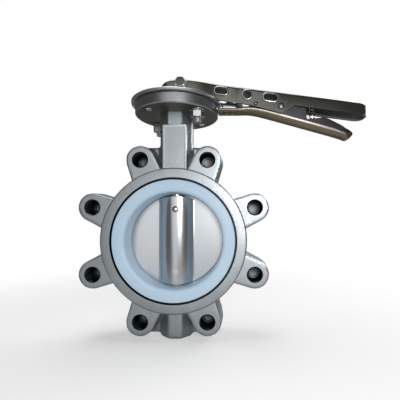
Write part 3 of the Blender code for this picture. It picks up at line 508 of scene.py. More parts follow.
far_seat = [(SEAT_BACK_R, 0), (SEAT_BACK_R, SEAT_LIP_Y), (SEAT_RIM_R, SEAT_LIP_Y)]
far_seat += [(SEAT_RIM_R, 0.0256), (0.0626, 0.0262), (0.0620, SEAT_Y)]
for i in range(11):
    a = QUARTER * i / 10
    drop = SEAT_EDGE_R * (1 - math.cos(a))
    far_seat.append((SEAT_FLAT_R - SEAT_EDGE_R * math.sin(a), SEAT_Y - drop))
far_seat += [(0.0495, 0.0120), (0.0489, 0.0040), (THROAT_R, 0)]
seat = coated(turned("seat_ring", far_seat + mirrored(far_seat[1:-1]), "Y", 192), ptfe)
port = rod(PORT_R, -0.070, 0.070)
machined(seat, coated(turned("port", port, "Z", 48), ptfe))
dressed(seat, "valve", "ptfe", "seat_liner")


# Seat backing: a moulded elastomer ring that presses the liner against the disc. It lies behind
# the liner, so its own solid serves and only gets its finish.
# Moulded black elastomer: matt, with a faint grey bloom in patches of about 6 mm.
rubber = new_finish(
    "moulded black elastomer",
    ("#14191d", "#23292e"),
    (0.60, 0.80),
    patch=(0.006, 3, EVEN),
    metal=0.0,
)
coated(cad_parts["seat_backing"], rubber)


# Stem: a ground stainless rod from the bottom boss to the square in the lever's head. It stays out
# of sight, as do its bearings and its packing, so their own solids serve and only get their finish.
# Ground stainless steel: smooth and light, with grinding lines up and down it, drawn about 1 mm
# apart so that they show.
ground_steel = new_finish(
    "ground stainless steel",
    ("#c6cacd", "#d4d7d9"),
    (0.13, 0.20),
    patch=(0.025, 2, EVEN),
    line=(0.0009, 3, (1, 1, 0.06)),
    spread=(0.3, 0.7),
    relief=(0.10, 0.0002),
)

# Filled nylon: moulded bearings, off-white with fine flecks of the filler.
bearing = new_finish(
    "moulded filled nylon", ("#a59a83", "#c2b9a4"), 0.45, patch=(0.002, 2, EVEN), metal=0.0
)
for name in ("stem", "retaining_ring"):
    coated(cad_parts[name], ground_steel)
for name in ("neck_bush", "boss_bush", "gland_bush", "thrust_pad"):
    coated(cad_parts[name], bearing)
for name in ("packing_ring_1", "packing_ring_2", "packing_ring_3"):
    coated(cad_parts[name], ptfe)


# Disc: a cast stainless disc with a ball-turned edge and a half-round hub over the stem. It is
# ground from top to bottom, so the hub's flanks mirror the dark on either side and its crest stays
# bright. Two pins lock it on the stem.
DISC_R = 0.0484
DISC_Y = 0.0045
HUB_R = 0.0211
HUB_CENTRE_Y = 0.0073
HUB_HALF = 0.0195
HUB_ARC = 0.890
HUB_FILLET_R = 0.0040
HUB_FILLET_ARC = 0.7912
PAST_DISC = 0.0550
PIN_Z = 0.0330
PIN_R = 0.0029
# Ground stainless disc: the flats are bright; a colour ramp across the hub paints the crest a
# little darker, to tone down its highlight, and the flanks beside it lighter, a painted lift of
# their dark reflections. Fine lines run up and down, drawn 1 mm apart so that they show.
ground_disc = bpy.data.materials.new("ground stainless disc")
ground_disc.use_nodes = True
shader = ground_disc.node_tree.nodes["Principled BSDF"]
shader.inputs["Metallic"].default_value = 1.0
place = add_node(ground_disc, "ShaderNodeTexCoord", {}).outputs["Object"]
side = add_node(ground_disc, "ShaderNodeSeparateXYZ", {"Vector": place}).outputs["X"]
out = add_node(ground_disc, "ShaderNodeMath", {0: side}, operation="ABSOLUTE").outputs["Value"]
reach = add_node(ground_disc, "ShaderNodeMapRange", {"Value": out, "From Max": 0.020})
ramp = add_node(ground_disc, "ShaderNodeValToRGB", {"Fac": reach.outputs["Result"]})
crest, flank, flat = linear("#c2c6c9"), linear("#d2d3d4"), linear("#cbcfd2")
ramp.color_ramp.elements[0].color = crest
ramp.color_ramp.elements[1].color = flat
for share, colour in ((0.12, crest), (0.32, flank), (0.80, flank), (0.97, flat)):
    ramp.color_ramp.elements.new(share).color = colour
across = add_node(ground_disc, "ShaderNodeMapping", {"Vector": place, "Scale": (1, 1, 0.05)})
noise = {"Vector": across.outputs["Vector"], "Scale": 1 / 0.001, "Detail": 3.0}
lay = add_node(ground_disc, "ShaderNodeTexNoise", noise).outputs["Fac"]
drift = {"Value": lay, "To Min": 0.20, "To Max": 0.27}
rough = add_node(ground_disc, "ShaderNodeMapRange", drift)
raised = {"Height": lay, "Strength": 0.10, "Distance": 0.0002}
bump = add_node(ground_disc, "ShaderNodeBump", raised)
ground_disc.node_tree.links.new(ramp.outputs["Color"], shader.inputs["Base Color"])
ground_disc.node_tree.links.new(rough.outputs["Result"], shader.inputs["Roughness"])
ground_disc.node_tree.links.new(bump.outputs["Normal"], shader.inputs["Normal"])


def pulled(name, corners, depth):
    """A straight piece: a filled outline pulled along a vector."""
    piece = wire(name, corners)
    bpy.ops.object.mode_set(mode="EDIT")
    bpy.ops.mesh.select_mode(type="EDGE")
    bpy.ops.mesh.select_all(action="SELECT")
    bpy.ops.mesh.edge_face_add()
    bpy.ops.mesh.extrude_region_move(TRANSFORM_OT_translate={"value": depth})
    bpy.ops.mesh.select_all(action="SELECT")
    bpy.ops.mesh.normals_make_consistent(inside=False)
    bpy.ops.object.mode_set(mode="OBJECT")
    return piece


# The hub's back is an arc, and a fillet leads it into the flat.
hub = []
for i in range(25):
    a = HUB_ARC * i / 24
    hub.append((HUB_R * math.sin(a), HUB_R * math.cos(a) - HUB_CENTRE_Y))
for i in range(8, -1, -1):
    a = HUB_FILLET_ARC * i / 8
    rise = HUB_FILLET_R * (1 - math.cos(a))
    hub.append((HUB_HALF - HUB_FILLET_R * math.sin(a), DISC_Y + rise))
far_side = [(PAST_DISC, DISC_Y)] + hub[::-1]
far_side += [(-x, y) for x, y in hub[1:]] + [(-PAST_DISC, DISC_Y)]
section = far_side + [(x, -y) for x, y in reversed(far_side)]
disc = pulled("disc_plate", [(x, y, -PAST_DISC) for x, y in section], (0, 0, 2 * PAST_DISC))
ball = new_piece(
    "ball",
    bpy.ops.mesh.primitive_uv_sphere_add,
    segments=160,
    ring_count=80,
    radius=DISC_R,
    rotation=ALONG_Y,
)
machined(disc, ball, "INTERSECT")
machined(disc, turned("port", port, "Z", 48))
pin_tools = []
for z, hole_r in ((PIN_Z, 0.0033), (-PIN_Z, 0.00295)):
    pin_tools.append(turned("pin_tool", rod(hole_r, -0.02, 0.02), "Y", 40, (0, 0, z)))
machined(disc, joined(pin_tools))
dressed(coated(disc, ground_disc), "lever_and_disc", "machined_stainless", "disc")

# The upper pin's ends are peened a little round, and the lower pin's are ground off flush.
# Bright plated steel: smooth and pale, with faint stains of about 4 mm.
bright_steel = new_finish(
    "bright plated steel", ("#c4c6c8", "#e2e4e5"), (0.16, 0.34), patch=(0.004, 4, EVEN)
)
peened = [(PIN_R, 0), (PIN_R, 0.0126), (0.0025, 0.0134), (0.0015, 0.0139), (0, 0.0141)]
ground_off = [(PIN_R, 0), (PIN_R, 0.0138), (0, 0.0138)]
for name, z, far_pin, steel in (
    ("disc_pin_upper", PIN_Z, peened, bright_steel),
    ("disc_pin_lower", -PIN_Z, ground_off, ground_steel),
):
    pin = turned(name + "_driven", mirrored(far_pin[1:]) + far_pin, "Y", 40, (0, 0, z))
    dressed(coated(pin, steel), "lever_and_disc", "bright_fastener", name)


# Notch plate: a blanked disc of dull rolled sheet on the top flange, with seven latch notches in
# its rim over a quarter turn. Four countersunk screws hold it.
PLATE_R = 0.0485
PLATE_LOW_Z = 0.1448
PLATE_TOP_Z = 0.1473
NOTCHES = 7
NOTCH_STEP = math.radians(15)
NOTCH_X = 0.0498
NOTCH_WIDTH = 0.0070
SINK_R = 0.0082
SINK_HOLE_R = 0.0043
# Rolled stainless sheet: a dull light grey, with faint rolling lines, drawn 1 mm apart so that they
# show.
rolled_sheet = new_finish(
    "rolled stainless sheet",
    ("#b6b8bc", "#cacccf"),
    (0.28, 0.44),
    patch=(0.001, 3, (0.08, 1, 1)),
)

blank = rim(PORT_R, PLATE_R, PLATE_LOW_Z, PLATE_TOP_Z, edge=0.0005)
plate = turned("latch_plate", blank, "Z", 192)
notch_tools = []
for i in range(NOTCHES):
    notch = new_piece(
        "notch",
        bpy.ops.mesh.primitive_cube_add,
        size=1,
        location=(NOTCH_X, 0, 0.146),
        scale=(0.0100, NOTCH_WIDTH, 0.010),
    )
    notch.data.transform(Matrix.Rotation(i * NOTCH_STEP, 4, "Z"))
    notch_tools.append(notch)
machined(plate, joined(notch_tools))
sink = [(0, 0.140), (SINK_HOLE_R, 0.140), (SINK_HOLE_R, 0.1434), (SINK_R, PLATE_TOP_Z)]
sink += [(SINK_R, 0.150), (0, 0.150)]
machined(plate, joined([turned("sink", sink, "Z", 40, (x, y, 0)) for x, y in screw_places]))
eased(plate, width=0.0002, segments=2, degrees=50)
dressed(coated(plate, rolled_sheet), "valve", "plate_sheet", "notch_plate")


# Plate screws: countersunk socket screws of bright steel. Two end just below the flange, and two
# longer ones carry a washer and a hexagon nut under it. The thread's pitch is drawn as rings.
SCREW_R = 0.0040
SCREW_PITCH = 0.00125
SOCKET_R = 0.0029
countersink = [(SCREW_R, 0.1437), (0.0075, 0.1471), (0.0073, PLATE_TOP_Z), (0, PLATE_TOP_Z)]
long_shank = [(0, 0.1205), (0.0032, 0.1205)]
for i in range(10):
    rise = SCREW_PITCH * i
    long_shank += [(SCREW_R, 0.1212 + rise), (0.0034, 0.1218 + rise)]
long_shank.append((SCREW_R, 0.1345))
short_shank = [(0, 0.1328), (0.0022, 0.1330), (0.0036, 0.1340), (SCREW_R, 0.1346)]
long_screw = turned("long_screw", long_shank + countersink, "Z", 40)
short_screw = turned("short_screw", short_shank + countersink, "Z", 40)
for screw in (long_screw, short_screw):
    socket = new_piece(
        "socket",
        bpy.ops.mesh.primitive_cylinder_add,
        vertices=6,
        radius=SOCKET_R,
        depth=0.006,
        location=(0, 0, PLATE_TOP_Z),
    )
    machined(screw, socket)
flat_ring = rim(hole_r=0.0043, outer_r=0.0080, low=0.1321, high=0.1337, edge=0.0003)
washer = turned("washer", flat_ring, "Z", 48)


def hexagon_nut(name, flats, height, hole_r):
    """A hexagon nut standing on the origin, with rounded-off corners and a chamfered hole."""
    corner_r = flats / 2 / math.cos(math.pi / 6)
    nut = new_piece(
        name,
        bpy.ops.mesh.primitive_cylinder_add,
        vertices=6,
        radius=corner_r,
        depth=height,
        location=(0, 0, height / 2),
        rotation=(0, 0, math.pi / 6),
    )
    rise = 0.93 * (corner_r - flats / 2)
    flat_r, past_r = flats / 2 - 0.0002, corner_r + 0.0005
    crown = [(0, 0), (flat_r, 0), (past_r, rise), (past_r, height - rise), (flat_r, height)]
    machined(nut, turned("crown", crown + [(0, height)], "Z", 64), "INTERSECT")
    if hole_r:
        mouth_r = hole_r * 1.15
        hole = [(0, -0.001), (mouth_r, -0.001), (mouth_r, 0.0001), (hole_r, 0.0006)]
        hole += [(hole_r, height - 0.0006), (mouth_r, height - 0.0001)]
        hole += [(mouth_r, height + 0.001), (0, height + 0.001)]
        machined(nut, turned("hole", hole, "Z", 40))
    return nut


nut = hexagon_nut("nut", flats=0.0130, height=0.0065, hole_r=0.0043)
nut.data.transform(Matrix.Translation((0, 0, 0.1253)))
fitted = [(short_screw, "plate_screw_1"), (long_screw, "plate_screw_2")]
fitted += [(short_screw, "plate_screw_3"), (long_screw, "plate_screw_4")]
fitted += [(washer, "plate_washer_2"), (washer, "plate_washer_4")]
fitted += [(nut, "plate_nut_2"), (nut, "plate_nut_4")]
for model, node in fitted:
    copy = copied(model, Matrix.Translation((*screw_places[int(node[-1]) - 1], 0)))
    copy.name = node + "_bright"
    dressed(coated(copy, bright_steel), "valve", "bright_fastener", node)
for model in (long_screw, short_screw, washer, nut):
    bpy.data.objects.remove(model)


# Lever hub: a cast block with a square socket, on the stem's square inside the lever's head. It
# can't be seen, so its own solid serves.
coated(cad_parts["lever_hub"], blasted_steel)


# Lever: one blank of stainless sheet, pressed into a channel that is open below. The head is wider
# and domed at the back, the walls are deep as far as the pivot, and three holes are punched in
# them.
SHEET = 0.0022
EDGE_R = 0.0032
LEVER_TOP_Z = 0.1705
LEVER_SLOPE = math.radians(7.4)
HEAD_R = 0.0220
HEAD_HALF = 0.0150
HEAD_CORNER_R = 0.0110
HEAD_BACK_X = -0.0085
FALL_X = 0.0140
NECKING_X = 0.0190
NECKING = 0.0320
LEVER_HALF = 0.0120
END_CORNER_R = 0.0085
END_X = 0.1970
PLATE_END_X = 0.0520
PLATE_GAP_Z = 0.1485
INSIDE_HALF = 0.0106
INSIDE_END_X = 0.2042
PUNCH_DROP = 0.0078
COLLAR = 0.0012
COLLAR_Y = 0.0105
CROSS_BOLT = (0.0060, 0, 0.1647)
CROSS_HOLE_R = 0.0033
PIVOT = (0.1120, 0, 0.1430)
PIVOT_HOLE_R = 0.0028
STOP = (0.0850, 0, 0.1456)
# Pressed stainless sheet: drawn smooth by the press and dull with handling. The press leaves fine
# lines along it, drawn about 1 mm apart so that they show.
pressed_sheet = new_finish(
    "pressed stainless sheet",
    ("#72726b", "#888881"),
    (0.15, 0.24),
    patch=(0.030, 2, EVEN),
    line=(0.0012, 3, (0.05, 1, 1)),
    relief=(0.08, 0.0002),
)

# Painted light: the channel's inside gets a lighter, matt and less metallic grey, so that it does
# not go black in its shade.
lightened_inside_sheet = new_finish(
    "stainless sheet painted light inside the channel",
    ("#868987", "#a0a4a2"),
    (0.5, 0.65),
    patch=(0.008, 4, EVEN),
    metal=0.35,
)


def level(stops, x):
    """The value at x on a line through stops of place and value."""
    for (low, start), (high, end) in zip(stops, stops[1:]):
        if x <= high:
            return start + (end - start) * (x - low) / (high - low)
    return stops[-1][1]


def lever_top(x):
    """Height of the lever's top over a point along it."""
    back = HEAD_R - math.sqrt(HEAD_R**2 - min(x, 0) ** 2)
    return LEVER_TOP_Z - back - max(0, x - FALL_X) * math.tan(LEVER_SLOPE)


def wall_depth(x):
    """Depth of the lever's walls below its top. Near the head they end just over the plate."""
    stops = [(PLATE_END_X, 0.0176), (0.0800, 0.0182), (0.1110, 0.0224), (0.1126, 0.0226)]
    stops += [(0.1140, 0.0222), (0.1240, 0.0138), (0.1258, 0.0126), (0.1285, 0.0124)]
    stops += [(0.2100, 0.0124)]
    return lever_top(x) - PLATE_GAP_Z if x < PLATE_END_X else level(stops, x)


def lever_plan(inset):
    """One side of the lever from above, from the back of its head to its end, moved in."""
    quarter = [math.pi / 2 * i / 8 for i in range(9)]
    back, end = HEAD_CORNER_R - inset, END_CORNER_R - inset
    back_y, end_y = HEAD_HALF - HEAD_CORNER_R, LEVER_HALF - END_CORNER_R
    side = []
    for a in reversed(quarter):
        side.append((HEAD_BACK_X - back * math.sin(a), back_y + back * math.cos(a)))
    side += [(x, HEAD_HALF - inset) for x in (-0.0055, -0.0025, 0.0, FALL_X, 0.0165)]
    middle, swing = (HEAD_HALF + LEVER_HALF) / 2, (HEAD_HALF - LEVER_HALF) / 2
    for i in range(9):
        half = middle + swing * math.cos(math.pi * i / 8)
        side.append((NECKING_X + NECKING * i / 8, half - inset))
    straight = [0.0530, 0.0660, 0.0800, 0.0950, 0.1110, 0.1126]
    straight += [0.1140, 0.1240, 0.1258, 0.1285, 0.1500, 0.1750]
    side += [(x, LEVER_HALF - inset) for x in straight]
    return side + [(END_X + end * math.sin(a), end_y + end * math.cos(a)) for a in quarter]


def lever_ring(inset, drop):
    """A loop round the lever, moved in, at a depth below the top or on the lower edge."""
    side = lever_plan(inset)
    levels = [lever_top(x) - (wall_depth(x) if drop is None else drop) for x, half in side]
    near = [(x, -half, z) for (x, half), z in zip(side, levels)]
    return near + [(x, -y, z) for x, y, z in reversed(near)]


def drawn_shell(name, rings):
    """A pressed shell: a wire pulled from loop to loop, then closed across the first and last."""
    piece = wire(name, rings[0])
    bpy.ops.object.mode_set(mode="EDIT")
    bpy.ops.mesh.select_mode(type="EDGE")
    bpy.ops.mesh.select_all(action="SELECT")
    for last, ring in zip(rings, rings[1:]):
        bpy.ops.mesh.extrude_region_move()
        shape = bmesh.from_edit_mesh(piece.data)
        for vert in shape.verts:
            if vert.select:
                gaps = [(vert.co - Vector(corner)).length_squared for corner in last]
                vert.co = ring[gaps.index(min(gaps))]
        bmesh.update_edit_mesh(piece.data)
    for ring in (rings[0], rings[-1]):
        spots = [Vector(corner) for corner in ring]
        pick("EDGE", lambda place: min((place - spot).length_squared for spot in spots) < 1e-13)
        shape = bmesh.from_edit_mesh(piece.data)
        for edge in shape.edges:
            if edge.select and edge.verts[0].co.y * edge.verts[1].co.y < 0:
                edge.select_set(False)
        bmesh.update_edit_mesh(piece.data)
        bpy.ops.mesh.bridge_edge_loops()
    bpy.ops.mesh.select_all(action="SELECT")
    bpy.ops.mesh.normals_make_consistent(inside=False)
    bpy.ops.object.mode_set(mode="OBJECT")
    return piece


bend = [math.pi / 2 * i / 6 for i in range(7)]
inner_r = EDGE_R - SHEET
loops = []
for a in reversed(bend):
    loops.append(lever_ring(EDGE_R - inner_r * math.cos(a), EDGE_R - inner_r * math.sin(a)))
loops += [lever_ring(SHEET, None), lever_ring(0, None)]
for a in bend:
    loops.append(lever_ring(EDGE_R - EDGE_R * math.cos(a), EDGE_R - EDGE_R * math.sin(a)))
lever = coated(drawn_shell("lever_channel", loops), pressed_sheet, bright_steel, lightened_inside_sheet)


def in_channel(centre, normal):
    """Whether a face of the lever lies inside its channel."""
    below = centre.z < lever_top(centre.x) - 0.0012
    return below and abs(centre.y) < INSIDE_HALF and centre.x < INSIDE_END_X


# The faces inside the channel get the lightened sheet: painted light in their shade.
tinted(lever, 2, in_channel)

# The punch is driven from inside, so a short rounded collar stands out round each hole. Its upper
# part and the punched edge get bright steel: a painted highlight.
punches, collars = [], []
for along, length, tall, proud in (
    (0.0484, 0.0140, 0.0075, 0.0132),
    (0.0760, 0.0095, 0.0095, 0.0128),
    (0.1007, 0.0155, 0.0076, 0.0128),
):
    run, middle = (length - tall) / 2, lever_top(along) - PUNCH_DROP
    cuts = ((-0.03, 0.03, 0), (-proud, -COLLAR_Y, COLLAR), (COLLAR_Y, proud, COLLAR))
    for near_y, far_y, widen in cuts:
        outline = []
        for i in range(40):
            a = math.tau * (i + 0.5) / 40
            u = (tall / 2 + widen) * math.cos(a) + math.copysign(run, math.cos(a))
            v = (tall / 2 + widen) * math.sin(a)
            x = along + u * math.cos(LEVER_SLOPE) + v * math.sin(LEVER_SLOPE)
            z = middle - u * math.sin(LEVER_SLOPE) + v * math.cos(LEVER_SLOPE)
            outline.append((x, near_y, z))
        tool = pulled("punch", outline, (0, far_y - near_y, 0))
        if not widen:
            punches.append(coated(tool, bright_steel))
            continue
        eased(tool, width=0.0009, segments=3, degrees=60)
        coated(tool, pressed_sheet, bright_steel)
        # Only the collar's upper part is bright: a painted highlight from above.
        tinted(tool, 1, lambda centre, normal: centre.z > middle - 0.1 * tall)
        collars.append(tool)
machined(lever, joined(collars), "UNION")
machined(lever, joined(punches))
drills = []
for spot, radius in ((CROSS_BOLT, CROSS_HOLE_R), (PIVOT, PIVOT_HOLE_R), (STOP, 0.0023)):
    drills.append(turned("drill", rod(radius, -0.03, 0.03), "Y", 32, spot))
machined(lever, coated(joined(drills), pressed_sheet))
dressed(lever, "lever_and_disc", "lever_sheet", "lever")


# Cross bolt: a hexagon bolt through the lever's head with a washer at each end and a nut on the far
# side. The bolt's faces have dulled, and its bevelled edges get bright steel: a painted highlight.
BOLT_R = 0.0030
BOLT_PITCH = 0.0010
# Dulled plain steel: dark grey and smooth, with brownish stains of about 3 mm.
dulled_steel = new_finish(
    "dulled plain steel", ("#515152", "#747371"), (0.24, 0.42), patch=(0.003, 3, EVEN)
)

upright = Matrix.Rotation(math.pi / 2, 4, "X")
head_place = Matrix.Translation(CROSS_BOLT)
head = hexagon_nut("head_bolt_painted_edges", flats=0.0100, height=0.0042, hole_r=0)
head.data.transform(head_place @ Matrix.Translation((0, -0.0168, 0)) @ upright)
shank = [(0, -0.0190), (BOLT_R, -0.0190), (BOLT_R, 0.0170)]
for i in range(6):
    shank += [(0.0026, 0.0176 + BOLT_PITCH * i), (BOLT_R, 0.0181 + BOLT_PITCH * i)]
shank += [(0.0027, 0.0236), (0.0024, 0.0238), (0, 0.0238)]
machined(head, turned("shank", shank, "Y", 32, CROSS_BOLT), "UNION")
coated(head, dulled_steel, bright_steel)
# The bevels take the bright steel: a painted highlight along the head's edges.
eased(head, width=0.0006, segments=2, degrees=25, material=1)
dressed(head, "lever_and_disc", "bright_fastener", "head_bolt")
nut = hexagon_nut("head_nut_worn", flats=0.0100, height=0.0050, hole_r=CROSS_HOLE_R)
nut.data.transform(head_place @ Matrix.Translation((0, 0.0218, 0)) @ upright)
dressed(coated(nut, bright_steel), "lever_and_disc", "bright_fastener", "head_nut")
# The near washer gets bright steel, a painted highlight round the bolt's head; the far one is dull.
for name, low, steel in (
    ("head_washer_near", -0.0165, bright_steel),
    ("head_washer_far", 0.0153, dulled_steel),
):
    flat_ring = rim(CROSS_HOLE_R, 0.0062, low, low + 0.0012, edge=0.0002)
    washer = turned(name + "_flat", flat_ring, "Y", 48, CROSS_BOLT)
    dressed(coated(washer, steel), "lever_and_disc", "bright_fastener", name)


# Trigger: the squeeze handle, pressed from sheet into a channel that is open above. It swings on
# the pivot pin between the lever's walls. Its nose is cut low round the latch, and its tail is
# rounded.
TRIGGER_SHEET = 0.0020
TRIGGER_HALF = 0.0092
TRIGGER_LOW_Z = 0.1388
TRIGGER_SLOPE = math.tan(math.radians(15.4))
TRIGGER_BEND_X = 0.0810
TRIGGER_BEND = 0.0081
PANEL_X = 0.1388
TAIL_X = 0.1818
TAIL_R = 0.0062
TAIL_LEAN = 0.6
NOSE_X = 0.0451
ROLL_STEP = 0.0004
# Painted reflection: the same pressed sheet, tinted warm brown as if it mirrored a warm floor, and
# smoother, with the same faint lines along it. It covers the trigger but for its flat walls.
warm_reflection_sheet = new_finish(
    "pressed sheet painted with a warm reflection",
    ("#7e7362", "#9f917b"),
    (0.28, 0.44),
    patch=(0.025, 2, EVEN),
    line=(0.0012, 3, (0.06, 1, 1)),
)

# Painted shade: the trigger's flat walls get a dark purplish grey, darker than the rest of the
# same sheet.
shaded_wall_sheet = new_finish(
    "pressed sheet painted dark as wall shade", ("#504d50", "#605d60"), (0.18, 0.28), patch=(0.015, 3, EVEN)
)


def trigger_low(x):
    """Height of the trigger's underside, with a soft bend behind the nose."""
    past = min(max(x - TRIGGER_BEND_X + TRIGGER_BEND, 0), 2 * TRIGGER_BEND)
    straight = max(0, x - TRIGGER_BEND_X - TRIGGER_BEND)
    return TRIGGER_LOW_Z - (past * past / (4 * TRIGGER_BEND) + straight) * TRIGGER_SLOPE


def trigger_high(x):
    """Height of the upper edge: a low nose, an ear at the pivot, a tall panel, then the grip."""
    stops = [(NOSE_X, 0.1416), (0.0660, 0.1416), (0.0690, 0.1419), (0.0710, 0.1428)]
    stops += [(0.0735, 0.1433), (0.1016, 0.1433), (0.1035, 0.1440), (0.1068, 0.1474)]
    stops += [(0.1085, 0.1482), (0.1160, 0.1482), (0.1370, 0.1449), (0.1382, 0.1446)]
    stops += [(PANEL_X, 0.1438)]
    if x <= PANEL_X:
        return level(stops, x)
    grip = [(PANEL_X, 0.0208), (0.1400, 0.0082), (0.1410, 0.0077), (0.1430, 0.0081)]
    grip += [(0.1520, 0.0117), (0.1570, 0.0136), (0.1600, 0.0141), (0.1640, 0.0139)]
    grip += [(0.1780, 0.0108), (0.1890, 0.0050)]
    return trigger_low(x) + level(grip, x)


def trigger_ring(turn, thick, top=False, step=0):
    """A loop round the trigger, at an angle round its rolled lower edge or along its upper edge."""
    stations = [NOSE_X, 0.0500, 0.0560, 0.0620, 0.0660, 0.0690, 0.0710, 0.0735, 0.0765, 0.0800]
    stations += [0.0840, 0.0880, 0.0930, 0.0980, 0.1016, 0.1035, 0.1050, 0.1068, 0.1085, 0.1120]
    stations += [0.1160, 0.1230, 0.1300, 0.1370, 0.1382, PANEL_X, 0.1400, 0.1410, 0.1430, 0.1460]
    stations += [0.1490, 0.1520, 0.1545, 0.1570, 0.1600, 0.1640, 0.1700, 0.1750, 0.1790]
    tail_turns = [math.pi / 16 * i for i in range(9)]
    tail = [TAIL_X + TAIL_R * math.sin(a) for a in tail_turns]
    roll = [(NOSE_X, 0.0026), (0.0690, 0.0026), (0.0735, 0.0034), (0.1000, 0.0056)]
    roll += [(0.1700, 0.0056), (0.1890, 0.0036)]
    near = []
    for i, x in enumerate(stations + tail):
        edge_r = level(roll, x)
        inset = edge_r * (1 - math.cos(turn)) + thick * math.cos(turn) + step
        rise = edge_r * (1 - math.sin(turn)) + thick * math.sin(turn) - step
        rise = trigger_high(x) - trigger_low(x) if top else max(rise, thick)
        z = trigger_low(x) + rise
        if i < len(stations):
            near.append((x, inset - TRIGGER_HALF, z))
            continue
        a, end_r = tail_turns[i - len(stations)], TAIL_R - inset
        lean = TAIL_LEAN * rise * math.sin(a)
        y = TAIL_R - TRIGGER_HALF - end_r * math.cos(a)
        near.append((TAIL_X + end_r * math.sin(a) + lean, y, z))
    return near + [(x, -y, z) for x, y, z in reversed(near)]


loops = [trigger_ring(a, TRIGGER_SHEET) for a in reversed(bend)]
loops += [trigger_ring(0, TRIGGER_SHEET, True), trigger_ring(0, 0, True), trigger_ring(0, 0)]
loops += [trigger_ring(a, 0, step=ROLL_STEP * (1 - a / bend[-1])) for a in bend]
trigger = coated(drawn_shell("trigger_channel", loops), warm_reflection_sheet, shaded_wall_sheet)
# The flat walls get the painted wall shade; the rest keeps the painted warm reflection.
tinted(trigger, 1, lambda centre, normal: abs(normal.y) > 0.97)
nose_cut = new_piece(
    "nose_cut",
    bpy.ops.mesh.primitive_cube_add,
    size=1,
    location=(0.0425, 0, 0.1508),
    scale=(0.0100, 0.0143, 0.0200),
)
machined(trigger, coated(nose_cut, warm_reflection_sheet))
pivot_tool = turned("pivot_tool", rod(PIVOT_HOLE_R, -0.02, 0.02), "Y", 32, PIVOT)
machined(trigger, coated(pivot_tool, warm_reflection_sheet))
dressed(trigger, "trigger_latch", "trigger_sheet", "trigger")


# Pivot and stop: turned steel pins across the lever's walls. The pivot has a low round head on the
# near side and a spring clip on the far side. The stop pin keeps the trigger's nose from rising
# further.
pivot_pin = [(0, -0.0136), (0.0016, -0.0135), (0.0029, -0.0131), (0.0034, -0.0124)]
pivot_pin += [(0.0034, -0.0123), (0.0025, -0.0123), (0.0025, 0.0139), (0.0022, 0.0143), (0, 0.0143)]
pivot_clip = rim(PIVOT_HOLE_R, 0.0044, low=0.0123, high=0.0133, edge=0.0002)
stop_pin = [(0, -0.0130), (0.0013, -0.0129), (0.0020, -0.0124)]
stop_pin += mirrored(stop_pin)
for name, profile, steps, spot, node in (
    ("pivot_pin_turned", pivot_pin, 40, PIVOT, "pivot_pin"),
    ("pivot_clip_sprung", pivot_clip, 40, PIVOT, "pivot_clip"),
    ("stop_pin_turned", stop_pin, 32, STOP, "stop_pin"),
):
    pin = turned(name, profile, "Y", steps, spot)
    dressed(coated(pin, dulled_steel), "lever_and_disc", "bright_fastener", node)


# Latch: a bright steel block in the trigger's nose, with a tooth that stands up into a notch. Two
# domed rivets hold it.
TOOTH_HALF = 0.0030
TOOTH_REACH = 0.0050
TOOTH_RISE = 0.0013
latch = new_piece(
    "latch_block",
    bpy.ops.mesh.primitive_cube_add,
    size=1,
    location=(0.0571, 0, 0.14335),
    scale=(0.0140, 0.0138, 0.0045),
)
bpy.ops.object.mode_set(mode="EDIT")
for y in (-TOOTH_HALF, TOOTH_HALF):
    bpy.ops.mesh.select_all(action="SELECT")
    bpy.ops.mesh.bisect(plane_co=(0, y, 0), plane_no=(0, 1, 0))
pick("FACE", lambda centre, normal: normal.x < -0.9 and abs(centre.y) < 0.002)
bpy.ops.mesh.extrude_region_move(TRANSFORM_OT_translate={"value": (-TOOTH_REACH, 0, 0)})
pick("FACE", lambda centre, normal: normal.z > 0.9 and centre.x < 0.0500)
bpy.ops.mesh.extrude_region_move(TRANSFORM_OT_translate={"value": (0, 0, TOOTH_RISE)})
bpy.ops.object.mode_set(mode="OBJECT")
eased(latch, width=0.0005, segments=3, degrees=40)
dressed(coated(latch, bright_steel), "trigger_latch", "bright_fastener", "latch_tooth")
domed = [(0, 0.1371), (0.0016, 0.1373), (0.0026, 0.1381), (0.0026, 0.1385), (0.0015, 0.1385)]
domed += [(0.0015, 0.1455), (0.0026, 0.1456), (0.0022, 0.1463), (0.0012, 0.1467), (0, 0.1468)]
# The rivets take the trigger's brown sheet, with its painted warm reflection.
for i, x in enumerate((0.0536, 0.0606), 1):
    rivet = turned(f"tooth_rivet_{i}_domed", domed, "Z", 40, (x, 0, 0))
    dressed(coated(rivet, warm_reflection_sheet), "trigger_latch", "bright_fastener", f"tooth_rivet_{i}")


# Spring: hard-drawn steel wire, wound in eight open curls with a closed curl at each end. It stands
# on the trigger round a thin peg and presses up under the lever's top. The peg stands off the
# coil's middle, because it swings across the coil when the trigger is squeezed.
SPRING_X = 0.1480
SPRING_R = 0.0028
WIRE_R = 0.0005
OPEN_CURLS = 8
CURL_POINTS = 20
PEG_R = 0.0007
PEG_OFF = 0.00145
low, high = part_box("trigger_spring")
base, top = low.z + WIRE_R, high.z - WIRE_R
points = []
for i in range((OPEN_CURLS + 2) * CURL_POINTS + 1):
    turn = i / CURL_POINTS
    rise = (turn - 1) / OPEN_CURLS
    height = base + (top - base) * min(1, max(0, rise))
    height += WIRE_R * (min(1, turn) - 1) + WIRE_R * max(0, turn - OPEN_CURLS - 1)
    a = math.tau * turn
    points.append((SPRING_X + SPRING_R * math.cos(a), SPRING_R * math.sin(a), height))
bpy.ops.object.select_all(action="DESELECT")
bpy.ops.curve.primitive_nurbs_path_add()
coil = bpy.context.object
coil.name = "spring_coil"
coil.data.splines.clear()
spline = coil.data.splines.new("POLY")
spline.points.add(len(points) - 1)
for point, spot in zip(spline.points, points):
    point.co = (*spot, 1)
